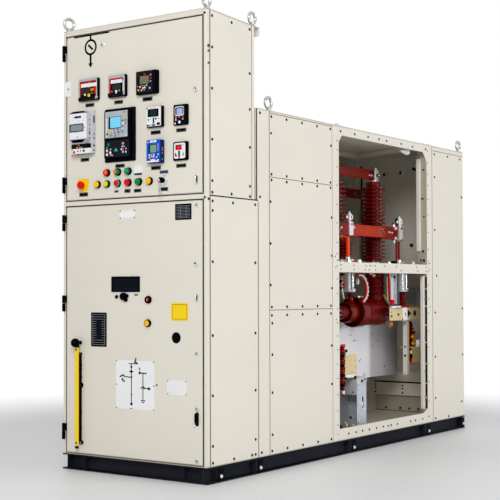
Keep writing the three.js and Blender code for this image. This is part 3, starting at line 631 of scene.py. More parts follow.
made = Maker()
post_top = limits("corner_post_left")[5]
outline = [(17, 0), (17, 3), (3, 3), (3, 28), (0, 28), (0, 4), (1.2, 1.2), (4, 0)]
made.prism([(x - SIDE, y) for x, y in outline], "Z", (FLOOR_TOP + 0.3, post_top), PAINT, 0.8)
for centres in HINGES.values():
    for centre in centres:
        hinge_half(made, centre - HINGE_HALF, centre - 0.5, "-Z", (-SIDE + 1, HINGE_X + 5), (HINGE_Y + 4, 1))
made.stand_for("corner_post_left")


def door(name, low, high):
    """A folded pan with a rubber seal inside, two stiffeners, and its halves of the hinges."""
    made = Maker()
    part = cube(around(0, DOOR_HALF), (0, DOOR_BACK), (low, high))
    back = [f for f in part.faces if all(v.co.y > 1 for v in f.verts)]
    bmesh.ops.delete(part, geom=back, context="FACES_ONLY")
    soften_edges(part, [e for e in part.edges if len(e.link_faces) == 2], 3, 4)
    bmesh.ops.recalc_face_normals(part, faces=part.faces)
    bmesh.ops.solidify(part, geom=part.faces[:], thickness=SHEET)
    smooth(part)
    made.keep(part, PAINT)
    inside = DOOR_HALF - 8
    seal = (SHEET, 16)
    for x in ((-inside, -inside + 12), (inside - 12, inside)):
        made.box(x, seal, (low + 8, high - 8), RUBBER_AND_GAP_SHADE, 3, 3)
    for z in ((low + 8, low + 20), (high - 20, high - 8)):
        made.box(around(0, inside), seal, z, RUBBER_AND_GAP_SHADE, 3, 3)
    for x in (-300, 300):
        made.box(around(x, 20), (SHEET - 0.5, 18), (low + 40, high - 40), PAINT, 2.5, 3)
    for centre in HINGES[body_of[name]]:
        hinge_half(made, centre + 0.5, centre + HINGE_HALF, "Z", (-DOOR_HALF - 7, -DOOR_HALF + 0.5),
                   (HINGE_Y + 5, 14))
    made.stand_for(name)


door("instrument_door", UPPER_LOW, UPPER_HIGH)
door("breaker_door", LOWER_LOW, LOWER_HIGH)


# ---------------------------------------------------------------- screws of the cabinet

def column(y, *heights):
    return [(y, z) for z in heights]


# (y, z) on the right side. The tower: two columns and a middle one on each sheet.
screws = column(46, 2248, 2096, 1897, 1651, 1452, 1396)
screws += column(364, 2237, 2014, 1833, 1642, 1446, 1395) + [(208, 2243), (205, 1397)]
screws += column(48, 1354, 1308, 1062, 708, 420, 179, 99)
screws += column(409, 1356, 1063, 709, 422, 175, 100) + [(217, 1354), (222, 99), (378, 100)]
# The three panels beside the opening: a row along each edge and columns between.
for z in (1820, 1522, 1492, 838, 795, 100):
    screws += [(y, z) for y in (559, 703, 855, 1009, 1150)]
screws += [(556, 1734), (1157, 1727)] + column(549, 1380, 1165, 951) + column(1162, 1327, 1115, 935)
screws += column(563, 755, 593, 399, 183) + column(1157, 617, 404)
# The panel behind the opening.
screws += column(2455, 1798, 1651, 1310, 778, 494, 230, 100) + [(2480, 1015), (2650, 1800), (2647, 97)]
screws += [(2841, 1799), (2866, 1545), (2868, 798), (2868, 491), (2850, 178)]
# The joint strip.
screws += [(455, 1827), (453, 1399), (464, 103)]
# The posts' and the frame's smaller fixings.
rivets = column(1222, 1762, 1712, 1616, 1512, 1405, 1300, 1190, 1128, 1092, 1060, 985, 905, 820, 742, 668,
                590, 512, 430, 340, 250, 170, 118)
rivets += [(1236, 1092), (1205, 1050), (1208, 760), (1200, 1112)]
rivets += column(2361, 1812, 1734, 1660, 1590, 1502, 1402, 1290, 1180, 1104, 1090, 1040, 955, 870, 775, 660,
                 560, 455, 340, 215, 120)
rivets += [(2382, 1092), (2376, 1052), (2350, 120), (2384, 815), (14, 2015), (14, 1363)]

made = Maker()
for axis, level in (("X", SIDE), ("-X", -SIDE)):
    for fixing, places in ((SCREW, screws), (RIVET, rivets)):
        made.stamp(fixing, *(facing(axis, level, y, z) for y, z in places))
made.finish("side_screws", CABINET, "bright_metal")


# ---------------------------------------------------------------- instruments

ON_DOOR = 0.3                                          # cases stand this far off the door


class Face:
    """The front of an instrument. Places on it are percent across and up; rises and depths are mm."""

    def __init__(self, left, right, bottom, top, out, made=None):
        self.made = made or Maker()
        self.left, self.bottom, self.out = left, bottom, out
        self.wide, self.high = right - left, top - bottom

    def point(self, u, v):
        return self.left + u / 100 * self.wide, self.bottom + v / 100 * self.high

    def slab(self, u0, u1, v0, v1, mat, rise, depth=1.0, corner=0, bevel=0.8):
        """A plate from a rise over the face to a depth under it; with no depth it reaches the door."""
        (x0, z0), (x1, z1) = self.point(u0, v0), self.point(u1, v1)
        back = self.out - depth if depth else ON_DOOR
        self.made.plate(x0, x1, z0, z1, self.out + rise, back, mat, bevel, corner)

    def tiles(self, *rows):
        for u0, u1, v0, v1, mat, rise in rows:
            self.slab(u0, u1, v0, v1, mat, rise, bevel=min(0.8, rise / 3))

    def knobs(self, *rows):
        for u, v, radius, mat, rise in rows:
            profile = [(radius, -0.6), (radius, rise * 0.7), (radius * 0.8, rise * 0.94), (0, rise)]
            self.made.dial(*self.point(u, v), profile, mat, 18, self.out)

    def foot(self, *span):
        """The part of a terminal block that shows under a case."""
        self.slab(*span, TAN, -3, self.out - 1, 2)

    def finish(self, name):
        if name in slot_of:
            self.made.stand_for(name)
        else:
            self.made.finish(name, UPPER_LEAF, "black_plastic")


def from_cad(name):
    x0, x1, y0, _, z0, z1 = limits(name)
    return Face(x0, x1, z0, z1, -y0 - 2)


# Two small supply meters, with a red frame line, a white scale strip and a black band below.
face = from_cad("supply_meter_left")
face.slab(0, 100, 0, 100, BLACK, -1, 0, 6)
face.slab(1, 93, 5, 99.5, SILVER, 0, 3, 6)
face.slab(7, 88, 17, 90, BLACK, 0.4, 1, 3, 0.3)
face.tiles((9, 72, 83, 88.5, RED, 1.8), (8, 12.5, 20, 86, RED, 1.8), (80, 86, 30, 62, RED, 1.2),
           (14, 92, 62, 79, MILK, 2), (14, 60, 28, 57, LCD_OLIVE, 0.8), (62, 78, 42, 55, ORANGE, 1.9),
           (0, 84, 5, 17, NAVY, 1.9), (50, 60, 60, 81.5, PINK, 0.6))
face.foot(14, 95, -3.5, 5)
face.knobs((34, 28, 6, MILK, 1.9), (53, 23.5, 9.5, AMBER, 2), (68, 33, 4.5, TEAL, 1.9), (81, 31, 5, RED, 1.9),
           (82, 87, 5.5, RED, 1.9), (94, 12, 5, SILVER, 1.9), (45, 20, 5, NAVY, 1.9))
face.finish("supply_meter_left")

face = from_cad("supply_meter_right")
face.slab(0, 100, 0, 100, BLACK, -1, 0, 7)
face.slab(1, 93, 6, 99.5, SILVER, 0, 3, 7)
face.slab(7, 84, 16, 86, BLACK, 0.4, 1, 3, 0.3)
face.tiles((10, 84, 81, 87, RED, 1.8), (9, 15, 20, 78, RED, 1.8), (83, 87, 24, 72, MILK, 1),
           (17, 80, 63, 79, MILK, 2), (26, 72, 35, 58, LCD_OLIVE, 0.9), (0, 85, 6, 20, NAVY, 1.9))
face.foot(16, 90, -4, 6)
face.knobs((23, 27, 4.5, ORANGE, 1.9), (35, 30, 4.5, DEEP_BLUE, 1.9), (47, 26, 7, MILK, 2),
           (47, 17, 5, MILK, 2), (64, 28, 5.5, TEAL, 1.9), (78, 28, 5, NAVY, 1.9), (83, 18, 4, RED, 2))
face.finish("supply_meter_right")

# The power meter: a black case with a grooved rim and a sage screen.
face = from_cad("power_meter")
face.slab(0, 100, 0, 100, BLACK, -3, 0, 7, 1.5)
face.slab(2, 93, 3, 98.5, NAVY, 0, 5, 6, 1.6)
face.slab(84, 87, 8, 94, BLACK, 0.8, 1, 0, 0.3)
face.slab(7, 80, 9, 95, CHARCOAL, 0.5, 1, 3, 0.4)
face.slab(13, 68, 37, 90, GLASS, 1, 1, 3, 0.3)
face.tiles((22, 65, 43, 78, LCD_SAGE, 1.5), (40, 49, 82, 88, RED, 1.9))
face.knobs((73, 80, 4.5, PINK, 1.9), (73, 66, 4.5, RED, 1.9), (73, 53, 4, SILVER, 1.9),
           (17, 82, 2.5, RED, 1.6), (23, 33, 5.5, BEIGE, 1.9), (33, 37, 3, PINK, 1.8),
           (43, 35, 4, SILVER, 1.8), (54, 37, 4.5, BEIGE, 1.9), (37, 27, 4.5, MILK, 1.9),
           (46, 28, 4.5, MILK, 1.9), (15, 20, 5, AMBER, 1.7), (30, 18, 5, BEIGE, 1.9),
           (43, 19, 4, PINK, 1.8), (69, 24, 5, BEIGE, 1.9), (11, 36, 3, PINK, 1.4))
face.finish("power_meter")

# The energy meter: a grey housing, a white cover with cut corners, and a terminal block below.
x0, x1, _, _, z0, z1 = limits("energy_meter")
HOUSING = 26
HOUSING_RIGHT, COVER_RIGHT = x1, -251


def cut_corners(shrink=0):
    """The cover's outline, with larger cuts at its foot."""
    a0, a1, b0, b1 = -373 + shrink, COVER_RIGHT - shrink, 1676 + shrink, 1843 - shrink
    return [(a0, b0 + 24), (a0 + 24, b0), (a1 - 24, b0), (a1, b0 + 24), (a1, b1 - 12), (a1 - 24, b1),
            (a0 + 24, b1), (a0, b1 - 12)]


made = Maker()
made.plate(x0, x1, z0, z1, HOUSING, ON_DOOR, GREY, 1.2, 5)
made.plate(-381, -246, 1626, 1653, 40, 1, MILK, 2.5, segments=3)
made.plate(-378, -250, 1653, 1677, 36, HOUSING - 1, BLACK, 2)
made.prism(cut_corners(), "Y", (-55, -HOUSING + 1), GREY, 2.5, 3)
made.prism(cut_corners(1), "Y", (-57, -54), SILVER, 1)
made.plate(-370, -252.5, 1700, 1832, 58.5, 55, MILK, 1.2, 4, 3)
made.prism([(-371, 1834), (-347, 1842), (-277, 1842), (-253, 1832), (-253, 1826), (-371, 1828)], "Y",
           (-57.6, -50), NAVY, 0.8)
made.prism([(-369, 1698), (-345, 1680), (-279, 1680), (-257, 1698)], "Y", (-57, -50), SILVER, 1)
made.plate(-371, -272, 1736, 1778, 59.6, 57, NAVY, 0.8, 8)
made.plate(-361, -276, 1741, 1773, 60, 58, LCD_GREY, 0.4)
made.plate(-336, -289, 1807, 1817, 59.4, 57, GLASS, 0.4)
for x, z, radius, mat in ((-350, 1812, 2.5, CHARCOAL), (-350, 1797, 1.8, SILVER), (-280, 1794, 3, SILVER),
                          (-264, 1757, 2.5, CHARCOAL), (-264, 1741, 1.8, SILVER), (-318, 1790, 2, SILVER),
                          (-300, 1792, 2, SILVER), (-336, 1783, 2, SILVER)):
    made.dial(x, z, dome(radius, 1, 1.4), mat, 12, 58.2)
made.dial(-314, 1709, [(7, 0), (7, 0.6), (5.8, 1), (5, 0.6), (0, 0.6)], GREY, 20, 58.2)
# Painted shade: the vents in the flanks and the terminal holes are dark parts.
for z, tall in ((1700, 5), (1722, 16), (1746, 5), (1770, 5), (1794, 5)):       # vents in the flanks
    made.box((COVER_RIGHT - 1, COVER_RIGHT + 0.6), (-40, -33), (z, z + tall), HOLE_SHADE, 0.3)
for z, tall in ((1812, 8), (1782, 30), (1722, 6), (1700, 8), (1660, 12), (1638, 8)):
    made.box((HOUSING_RIGHT - 1, HOUSING_RIGHT + 0.5), (-19, -9), (z, z + tall), HOLE_SHADE, 0.3)
for x, radius in ((-369, 8), (-352, 7), (-296, 6), (-276, 8)):                 # terminals and wires
    made.dial(x, 1664, [(radius, 0), (radius, 1), (radius - 1.5, 1.2), (radius - 2, 0.4), (0, 0.4)], HOLE_SHADE,
              16, 36)
made.plate(-332, -320, 1666, 1674, 38, 34, ORANGE, 1)
for x in (-337, -318, -306):
    made.plate(x - 4, x + 4, 1656, 1662, 37.5, 34, BEIGE, 1)
for x, radius in ((-327, 4), (-308, 3.2), (-287, 6.5)):
    made.dial(x, 1640, [(radius, 0), (radius, 1.5), (radius - 1, 2), (0, 1)], BLACK, 16, 40)
made.tube([(-368, -40, 1652), (-369, -45, 1640), (-366, -43, 1628), (-368, -41, 1618)], 0.9, BRIGHT, 8)
for x, z, radius, mat in ((-368, 1648, 4.5, PINK), (-353, 1636, 6.5, RED), (-366, 1618, 4.5, RED)):
    made.dial(x, z, [(0, -3), (radius, -2), (radius, 1), (radius * 0.7, 2.5), (0, 2.8)], mat, 18, 43)
made.stand_for("energy_meter")

# The protection relay: a deep black case in a thin frame, a grey face with a screen, keys below.
x0, x1, y0, _, z0, z1 = limits("protection_relay")
RELAY_OUT = -y0
made = Maker()
made.plate(x0, x1, z0, z1, 8.3, ON_DOOR, BLACK, 1.2, 6)
made.plate(-160, 14, 1591, 1832, RELAY_OUT - 4, 8, BLACK, 2, 5, 3)
for x in (22, 16.5):
    made.plate(x - 1.2, x + 1.2, 1590, 1832, 11, 7, CHARCOAL, 0.5)
for z0, z1 in ((1686, 1830), (1592, 1684)):
    made.plate(-157, 11, z0, z1, RELAY_OUT - 3.2, 25, BLACK, 1.4, 4)
made.fix(SCREW, "-Y", -8.3, *((x, z, 0.5) for x in (-166, 20) for z in (1583, 1836)))
face = Face(-151, -3, 1693, 1826, RELAY_OUT - 2, made)
face.slab(0, 100, 0, 100, SILVER, 0, 3, 3)
face.slab(16, 72, 34, 80, NAVY, 0.7, 1, 2, 0.3)
face.tiles((23.5, 70.5, 37, 78, LCD_CYAN, 1.2), (5, 9, 25, 75, MILK, 0.4), (19, 33, 5.5, 13, TEAL, 0.9))
face.knobs((6, 94, 4, BEIGE, 1), (87, 93, 4, TAN, 1), (8, 60, 3, ORANGE, 1.2), (90, 83, 4.5, AMBER, 1.4),
           (79, 83, 3, BEIGE, 1), (79, 62, 4, CHARCOAL, 1.4), (91, 62, 5, GREEN, 1.4),
           (91, 70, 3, AMBER, 1.2), (81, 51, 6, MILK, 1.6), (91, 51, 3.6, DEEP_BLUE, 1.4),
           (79, 41, 4, CHARCOAL, 1.4), (90, 41, 3, PINK, 1.2), (79, 31, 4.5, LCD_CYAN, 1.6),
           (78, 20, 8, TEAL, 1.6), (69, 23, 5, ORANGE, 1.6), (60, 19, 6, BLUE, 1.6),
           (58, 30, 4, DEEP_BLUE, 1.4), (50, 31, 3.5, PINK, 1.4), (41, 29, 3.5, CHARCOAL, 1.4),
           (33, 30, 3, BEIGE, 1.4), (44, 17, 6, CHARCOAL, 1.2), (44, 17.5, 3.6, SILVER, 1.7),
           (24, 21, 7.5, AMBER, 1.6), (27, 17, 4, ORANGE, 1.8), (10, 15, 5, NAVY, 1.4),
           (10, 6, 4.5, BEIGE, 1.2), (46, 6, 5, RED, 1.5), (62, 9, 3, BLUE, 1.2), (94, 5, 4, MILK, 1.2),
           (6, 5, 3, MILK, 1.2))
face = Face(-150, 8, 1595, 1678, RELAY_OUT - 2, made)
face.slab(0, 100, 0, 100, CHARCOAL, 0.3, 2, 4)
face.knobs((14, 78, 7.5, GREEN, 1.9), (46, 70, 15, NAVY, 1.7), (46, 70, 11, CHARCOAL, 2),
           (75, 78, 7, PINK, 1.9), (7, 60, 3.5, SILVER, 1.4), (8, 42, 7, BEIGE, 1.8), (8, 40, 5, MILK, 2),
           (23, 48, 5, SILVER, 1.6), (22, 29, 6.5, MILK, 1.8), (8, 18, 7, MILK, 1.9),
           (24, 15, 4.5, BEIGE, 1.6), (30, 12, 4.5, PINK, 1.6), (69, 44, 5, MILK, 1.8),
           (77, 44, 4.5, RED, 1.6), (87, 46, 4.5, SILVER, 1.6), (72, 60, 4, MILK, 1.6),
           (79, 60, 4, SILVER, 1.6), (75, 28, 6.5, LCD_BLUE, 1.8), (87, 26, 5, BEIGE, 1.8),
           (46, 16, 5, CHARCOAL, 2), (90, 78, 5, BLACK, 1.4))
made.prism([face.point(38, 34), face.point(54, 34), face.point(46, 56)], "Y", (-RELAY_OUT - 0.1, -28), TEAL,
           0.4)
face.finish("protection_relay")

# Four small instruments to its right.
face = Face(109, 209, 1727, 1830, 18)
face.slab(2, 100, 0, 100, BLACK, -1, 0, 4, 1.2)
face.slab(0, 92, 5, 99, MILK, 0, 4, 5)
face.slab(9, 78, 50, 88, BLACK, 0.9, 1, 2, 0.3)
face.tiles((22, 68, 55, 83, LCD_DARK, 1.3), (42, 50, 18, 46, NAVY, 1.6), (6, 30, 9, 13, BLACK, 1),
           (36, 56, 7, 14, NAVY, 1.4), (20, 60, 90.5, 93, PINK, 0.4))
face.knobs((5, 93, 4, BLACK, 1), (13, 38, 4, CHARCOAL, 1.4), (25, 40, 3, SILVER, 1), (61, 40, 5, BLACK, 1.4),
           (79, 40, 4, SILVER, 1.4), (80, 15, 7, BLACK, 1.5), (72, 15, 6, BLACK, 1.5), (8, 10, 5, BLACK, 1.2),
           (84, 93, 3, SILVER, 1))
face.finish("small_meter_white")

face = Face(273, 361, 1725, 1826, 11)
face.slab(0, 100, 0, 100, BLACK, 0, 0, 7, 1.5)
face.slab(5, 84, 6, 95, NAVY, 0.5, 2, 6, 0.6)
face.slab(10, 75, 46, 90, MILK, 1, 1, 9, 0.3)
face.slab(16, 70, 50, 86, NAVY, 1.3, 1, 3, 0.2)
face.tiles((24, 66, 50, 81, LCD_BLUE, 1.8), (11, 15, 52, 86, PINK, 1.5), (71, 74.5, 56, 84, PINK, 1.5),
           (30, 55, 43, 45.5, RED, 1.2), (37, 46, 22, 37, DEEP_BLUE, 1.6))
face.knobs((19, 38, 5, ORANGE, 1.8), (42, 39, 3.5, SILVER, 1.6), (67, 40, 5.5, RED, 1.8),
           (19, 27, 5, BEIGE, 1.6), (67, 29, 4.5, SILVER, 1.6), (44, 15, 7, MILK, 1.9),
           (13, 10, 5, GREY, 1.6), (68, 18, 5, BLACK, 1.6))
face.finish("small_meter_black")

face = Face(119, 210, 1549, 1664, 30)
face.slab(3, 100, 0, 99, DEEP_BLUE, -2, 0, 4, 1.2)
face.slab(0, 95, 3, 100, BLUE, 0, 6, 4, 1)
face.slab(20, 72, 42, 80, DEEP_BLUE, 0.7, 1, 2, 0.3)
face.tiles((28, 70, 45, 77, LCD_GREEN, 1.4), (16, 24, 44, 76, CHARCOAL, 1.3), (26, 70, 88, 97, MILK, 1.2),
           (2, 86, 3.5, 10, MILK, 1.2), (30, 62, 10, 16, MILK, 1.2), (76, 86, 10, 15, MILK, 1.2),
           (80, 84, 50, 82, PINK, 1), (36, 42, 25, 40, LCD_BLUE, 1.4), (50, 56, 25, 40, MILK, 1.4),
           (60, 68, 26, 38, DEEP_BLUE, 1.4))
face.knobs((12, 90, 4, BEIGE, 1.4), (48, 92.5, 3.5, TAN, 1.8), (80, 88, 4.5, DEEP_BLUE, 1.4),
           (10, 83, 5, DEEP_BLUE, 1), (22, 35, 4.5, MILK, 1.8), (22, 24, 5.5, AMBER, 1.8),
           (34, 30, 3.4, PINK, 1.6), (46, 24, 4, PINK, 1.8), (72, 24, 4.5, BEIGE, 1.8),
           (82, 36, 4.5, BEIGE, 1.8), (16, 14, 5, DEEP_BLUE, 1), (84, 20, 5, DEEP_BLUE, 1),
           (80, 42, 4, DEEP_BLUE, 1))
for z in (1608, 1618, 1594):
    face.made.box((209, 210.6), (-20, -15), (z, z + 6), AMBER, 0.4)
face.made.box((209, 210.6), (-22, -14), (1562, 1570), TEAL, 0.4)
face.finish("small_meter_blue")

face = Face(271, 361, 1554, 1645, 11)
face.slab(0, 100, 0, 100, BLACK, 0, 0, 6, 1.5)
face.slab(8, 84, 10, 93, MILK, 0.8, 1, 8, 0.5)
face.slab(18, 60, 56, 84, BLACK, 1.3, 1, 2, 0.3)
face.tiles((26, 56, 66, 79, LCD_RED, 1.6), (23, 58, 56, 65, RED, 1.8), (37, 49, 20, 52, DEEP_BLUE, 1.8),
           (37, 47, 12, 20, RED, 1.9), (67, 73, 24, 40, BLACK, 1.6), (37, 49, 2, 12, NAVY, 1.4))
face.knobs((18, 33, 6, RED, 1.8), (22, 26, 5, BLACK, 2), (18, 44, 3, SILVER, 1.4), (70, 82, 3.5, SILVER, 1.2),
           (70, 56, 3, SILVER, 1.2))
face.finish("small_meter_red")


# ---------------------------------------------------------------- labels and plates

def frame_line(made, x0, x1, z0, z1, width, front, back, mat):
    """A thin rectangle drawn on a plate."""
    for x2, x3, z2, z3 in ((x0, x1, z0, z0 + width), (x0, x1, z1 - width, z1),
                           (x0, x0 + width, z0, z1), (x1 - width, x1, z0, z1)):
        made.plate(x2, x3, z2, z3, front, back, mat, 0)


def blank_label(made, x0, x1, z0, z1, mat=BLACK, line=GREY, width=0.64):
    """A blank engraved plate: a thin line runs round inside its edge."""
    made.plate(x0, x1, z0, z1, 1.2, 0, mat, 0.3, 1.5, steps=3)
    frame_line(made, x0 + 2.5, x1 - 2.5, z0 + 2.5, z1 - 2.5, width, 1.32, 1.1, line)


def ruled_plate(made, x0, x1, z0, z1, mat, line, rows, columns=()):
    """A blank form: engraved rules across and down, and a rivet in each corner."""
    made.plate(x0, x1, z0, z1, 1.4, 0, mat, 0.4, 3)
    for z in spread(z0 + 10, z1 - 10, rows):
        made.plate(x0 + 8, x1 - 8, z - 0.5, z + 0.5, 1.5, 1.2, line, 0)
    for part in columns:
        x = x0 + part * (x1 - x0)
        made.plate(x - 0.5, x + 0.5, z0 + 10, z1 - 10, 1.5, 1.2, line, 0)
    made.fix(RIVET, "-Y", -1.4, *((x, z, 0.8) for x in (x0 + 4, x1 - 4) for z in (z0 + 4, z1 - 4)))


made = Maker()
for span in ((-312, -251, 1869, 1888), (-116, -58, 1866, 1885), (71, 134, 1863, 1884),
             (-345, -286, 1589, 1608), (-108, -46, 1543, 1562), (123, 186, 1693, 1713),
             (283, 345, 1693, 1712), (125, 187, 1518, 1538), (283, 344, 1520, 1539),
             (-354, -294, 1409, 1430), (173, 232, 1411, 1430), (-48, -8, 1414, 1433), (14, 62, 1413, 1431),
             (-115, -88, 1419, 1430)):
    blank_label(made, *span)
blank_label(made, 180, 233, 1497, 1513, DEEP_BLUE, MILK)
made.plate(15, 70, 1510, 1546, 0.9, 0, PLATE, 0.3, 2)
blank_label(made, 17, 66, 1499, 1509, NAVY, SILVER, 0.4)
made.plate(-459, -414, 1936, 2014, 1.6, 0, PLATE, 0.5, 3)
made.dial(-432, 1973, [(5.5, 0), (5.2, 1.4), (3.4, 2.4), (0, 2.6)], ORANGE, 20, 1.4)
made.dial(-431, 1977, [(3, 0), (2.8, 1), (0, 1.4)], STEEL, 12, 3.6)
made.finish("upper_labels", UPPER_LEAF, "black_plastic")

made = Maker()
made.plate(-79, 22, 1285, 1328, 1.2, 0, PLATE, 0.4, 3)
for z in (1290, 1322.4):
    made.plate(-73, 16, z, z + 0.7, 1.35, 1.1, SILVER, 0)
made.fix(RIVET, "-Y", -1.2, *((x, z, 0.9) for x in (-75, 18) for z in (1289, 1324)))
ruled_plate(made, 276, 376, 1266, 1344, BLACK, SILVER, 9, (0.34, 0.68))
ruled_plate(made, -272, -166, 639, 813, BLACK, SILVER, 14, (0.12, 0.88))
made.plate(-236, -200, 680, 768, 1.7, 1.2, NAVY, 0.2)
made.dial(-197, 754, [(2.6, 0), (2.4, 0.8), (0, 1)], RED, 12, 1.6)
ruled_plate(made, 226, 345, 419, 489, PLATE, GREY, 6)
made.plate(251, 355, 778, 864, 1.6, 0, YELLOW, 0.5, 7)
frame_line(made, 258, 348, 785, 857, 1.6, 1.8, 1.4, BLACK)
made.finish("lower_plates", LOWER_LEAF, "black_plastic")


# ---------------------------------------------------------------- mimic diagrams

BOLD = 1.4                                             # how much heavier than its nominal width a line is


class Diagram:
    """Black strips and signs drawn on a plate; places are mm."""

    def __init__(self, made, out):
        self.made, self.out = made, out

    def shape(self, points):
        self.made.prism(points, "Y", (-self.out - 0.6, -self.out + 0.2), BLACK, 0)

    def line(self, x0, z0, x1, z1, width=3.4):
        across = Vector((z0 - z1, x1 - x0)).normalized() * width * BOLD / 2
        self.shape([(x0 + across.x, z0 + across.y), (x0 - across.x, z0 - across.y),
                    (x1 - across.x, z1 - across.y), (x1 + across.x, z1 + across.y)])

    def diamond(self, x, z, wide, high):
        self.shape([(x - wide, z), (x, z - high), (x + wide, z), (x, z + high)])

    def ring(self, x, z, outer, inner, start=0, end=360):
        angles = spread(start, end, max(6, round((end - start) / 12)) + 1)
        rims = zip(polar(inner, angles), polar(outer, angles))
        corners = [((x + a, z + b), (x + c, z + d)) for (a, b), (c, d) in rims]
        for (near, far), (next_near, next_far) in zip(corners, corners[1:]):
            self.shape([near, far, next_far, next_near])


made = Maker()
mimic = Diagram(made, 0)
mimic.line(-391, 2239, -149, 2239, 5)
mimic.line(-277, 2241, -277, 2212, 8)
mimic.ring(-277, 2177, 42, 31)
mimic.line(-293, 2190, -262, 2163, 8)
mimic.line(-277, 2142, -277, 2090, 9)
mimic.shape([(-293, 2094), (-277, 2071), (-261, 2094)])
made.finish("upper_mimic", UPPER_LEAF, "black_plastic")

made = Maker()
made.plate(-103, 146, 333, 576, 1.4, 0, PLATE, 0.4, 4)
mimic = Diagram(made, 1.4)
sheet = Face(-103, 146, 332, 576, 1.4, made)
for row in ((34, 93.5, 57.5, 93.5, 3), (40.8, 93.5, 40.8, 10), (23, 66.8, 40.8, 65.5), (10, 65.5, 19, 70, 5),
            (19, 70, 23, 66.5, 5), (15, 60, 19, 63, 4), (17, 58, 24, 57, 5), (37, 2, 44, 2, 2),
            (52, 99, 52, 106, 4), (50.5, 97, 57.5, 94.5, 4), (60, 75.5, 80, 75, 4), (61, 86, 63.5, 81, 4),
            (70.8, 76, 70.8, 22), (70.8, 44.5, 85, 44.5), (66, 20, 76, 20, 3)):
    mimic.line(*sheet.point(*row[:2]), *sheet.point(*row[2:4]), *row[4:])
for u, v, wide, high in ((40.8, 87, 9, 7), (40.5, 77.5, 15, 7), (41.2, 66.5, 6, 6), (41, 31, 6, 5),
                         (41, 11.5, 10, 9), (50, 97.5, 6, 8), (62.5, 75.5, 9, 9), (86, 44.5, 12, 8)):
    mimic.diamond(*sheet.point(u, v), wide, high)
for u, v, *sizes in ((20, 59, 7, 4, 90, 250), (70.8, 42, 16, 11, 20, 170), (71, 19, 10, 6, 150, 390)):
    mimic.ring(*sheet.point(u, v), *sizes)
made.fix(RIVET, "-Y", -1.4, *((x, z, 0.8) for x in (-99, 142) for z in (337, 454, 572)))
made.fix(RIVET, "-Y", 0, (160, 460, 1.2))
made.finish("lower_mimic", LOWER_LEAF, "white_sheet")


# ---------------------------------------------------------------- push buttons, lamps and locks

def pilot(made, x, z, cap, ring=None, out=23, flat=False):
    """A 22 mm device: black collar, an inner ring that may be lit, and a coloured cap."""
    made.dial(x, z, [(19.5, 0), (19.5, 3), (19, 4.5), (18, 5), (18, 11), (17.2, 12.4), (15.5, 12.8),
                     (0, 12.8)], BLACK, 32)
    if ring:
        made.dial(x, z, [(17.4, 9), (17.4, 14.4), (16.4, 15.6), (0, 15.6)], ring, 32)
    radius = 14 if ring else 15.6
    top = [(radius, out - 1.5), (radius - 1.4, out), (0, out)] if flat else [
        (radius, out - 4), (radius * 0.86, out - 1.6), (radius * 0.5, out - 0.3), (0, out)]
    made.dial(x, z, [(radius, 10)] + top, cap, 32)


def cross_slot(made, x, z, half, front, back, thick, turn):
    """A slot across a lock or a screw, turned in its face: a dark bar of painted shade."""
    spin = Matrix.Translation((x, 0, z)) @ Matrix.Rotation(math.radians(turn), 4, "Y")
    made.box(around(0, half), (-front, -back), around(0, thick), HOLE_SHADE, 0.3, turn=spin)


def round_lock(made, x, z):
    made.dial(x, z, [(14, 0), (14, 6), (12, 9), (9.5, 9.3), (9, 8), (7, 8), (6.6, 5), (0, 5)], CHROME, 36)
    cross_slot(made, x, z, 7, 8.4, 4.4, 1.7, 40)


def lift_handle(made, x, z0, z1, half=11):
    """An oval bright cup with a grip standing in it."""
    made.plate(x - half, x + half, z0, z1, 4, 0.1, CHROME, 1.6, half - 0.5, 3, 8)
    made.plate(x - half + 4, x + half - 4, z0 + 5, z1 - 5, 4.3, 3, STEEL, 0.3, half - 5, steps=8)
    path = [(z0 + 9, 3), (z0 + 12, 9), (z0 + 18, 12), ((z0 + z1) / 2, 12), (z1 - 18, 12), (z1 - 12, 9),
            (z1 - 9, 3)]
    made.tube([(x, -out, z) for z, out in path], 4, CHROME, 14)


made = Maker()
ROW_1, ROW_2 = 1522, 1465
pilot(made, -161, ROW_1, RED)
made.dial(-155, ROW_1, [(14, 11), (14, 21), (0, 21.5)], ORANGE, 24, 2, (0.55, 0.8))
pilot(made, -88, ROW_1, BLACK)
made.dial(-80, ROW_1, [(14, 10), (14, 21), (12, 23.5), (0, 23.5)], GREEN, squash=(0.7, 0.9))
made.dial(-93, 1523, [(13, 12), (13, 23), (10, 26), (0, 27)], ORANGE, squash=(0.8, 0.9))
pilot(made, -19, ROW_1, GREEN, out=25)
made.dial(-15, 1524, [(8, 16), (7, 22.5), (5, 23.5), (4, 22), (0, 22)], TEAL, 20, 4)
for x, cap, ring, flat in ((-224, AMBER, None, False), (-161, YELLOW, GREEN, False), (-89, RED, TEAL, True),
                           (-19, RED, None, True), (50, GREEN, None, True), (118, AMBER, None, False)):
    pilot(made, x, ROW_2, cap, ring, flat=flat)
made.dial(-219, ROW_2, [(10, 10), (9.4, 22.8), (8.6, 23.6), (0, 23.8)], YELLOW, 20, squash=(0.8, 1))
# The stop button: a yellow square shield, rounded below, and a red mushroom in two steps.
shield = [(-364, 1500), (-292, 1500), (-289, 1497), (-289, 1450)]
shield += [(-322 + 33 * a, 1462 + 30 * b) for a, b in polar(1, range(-25, -160, -9))]
shield += [(-357, 1470), (-366, 1486)]
made.prism(shield, "Y", (-3.4, -0.1), YELLOW, 0.7)
made.dial(-318, 1462, [(19, 3), (19, 8), (17, 10), (0, 10)], AMBER, 32)
made.dial(-322, 1465, [(12, 8), (12, 20), (13.5, 22), (13.5, 26), (0, 26)], RED, 32)
made.dial(-322, 1466, [(13, 20), (19.5, 22), (20, 25), (20, 31), (18, 35), (11, 37), (0, 37.5)], RED, 40)
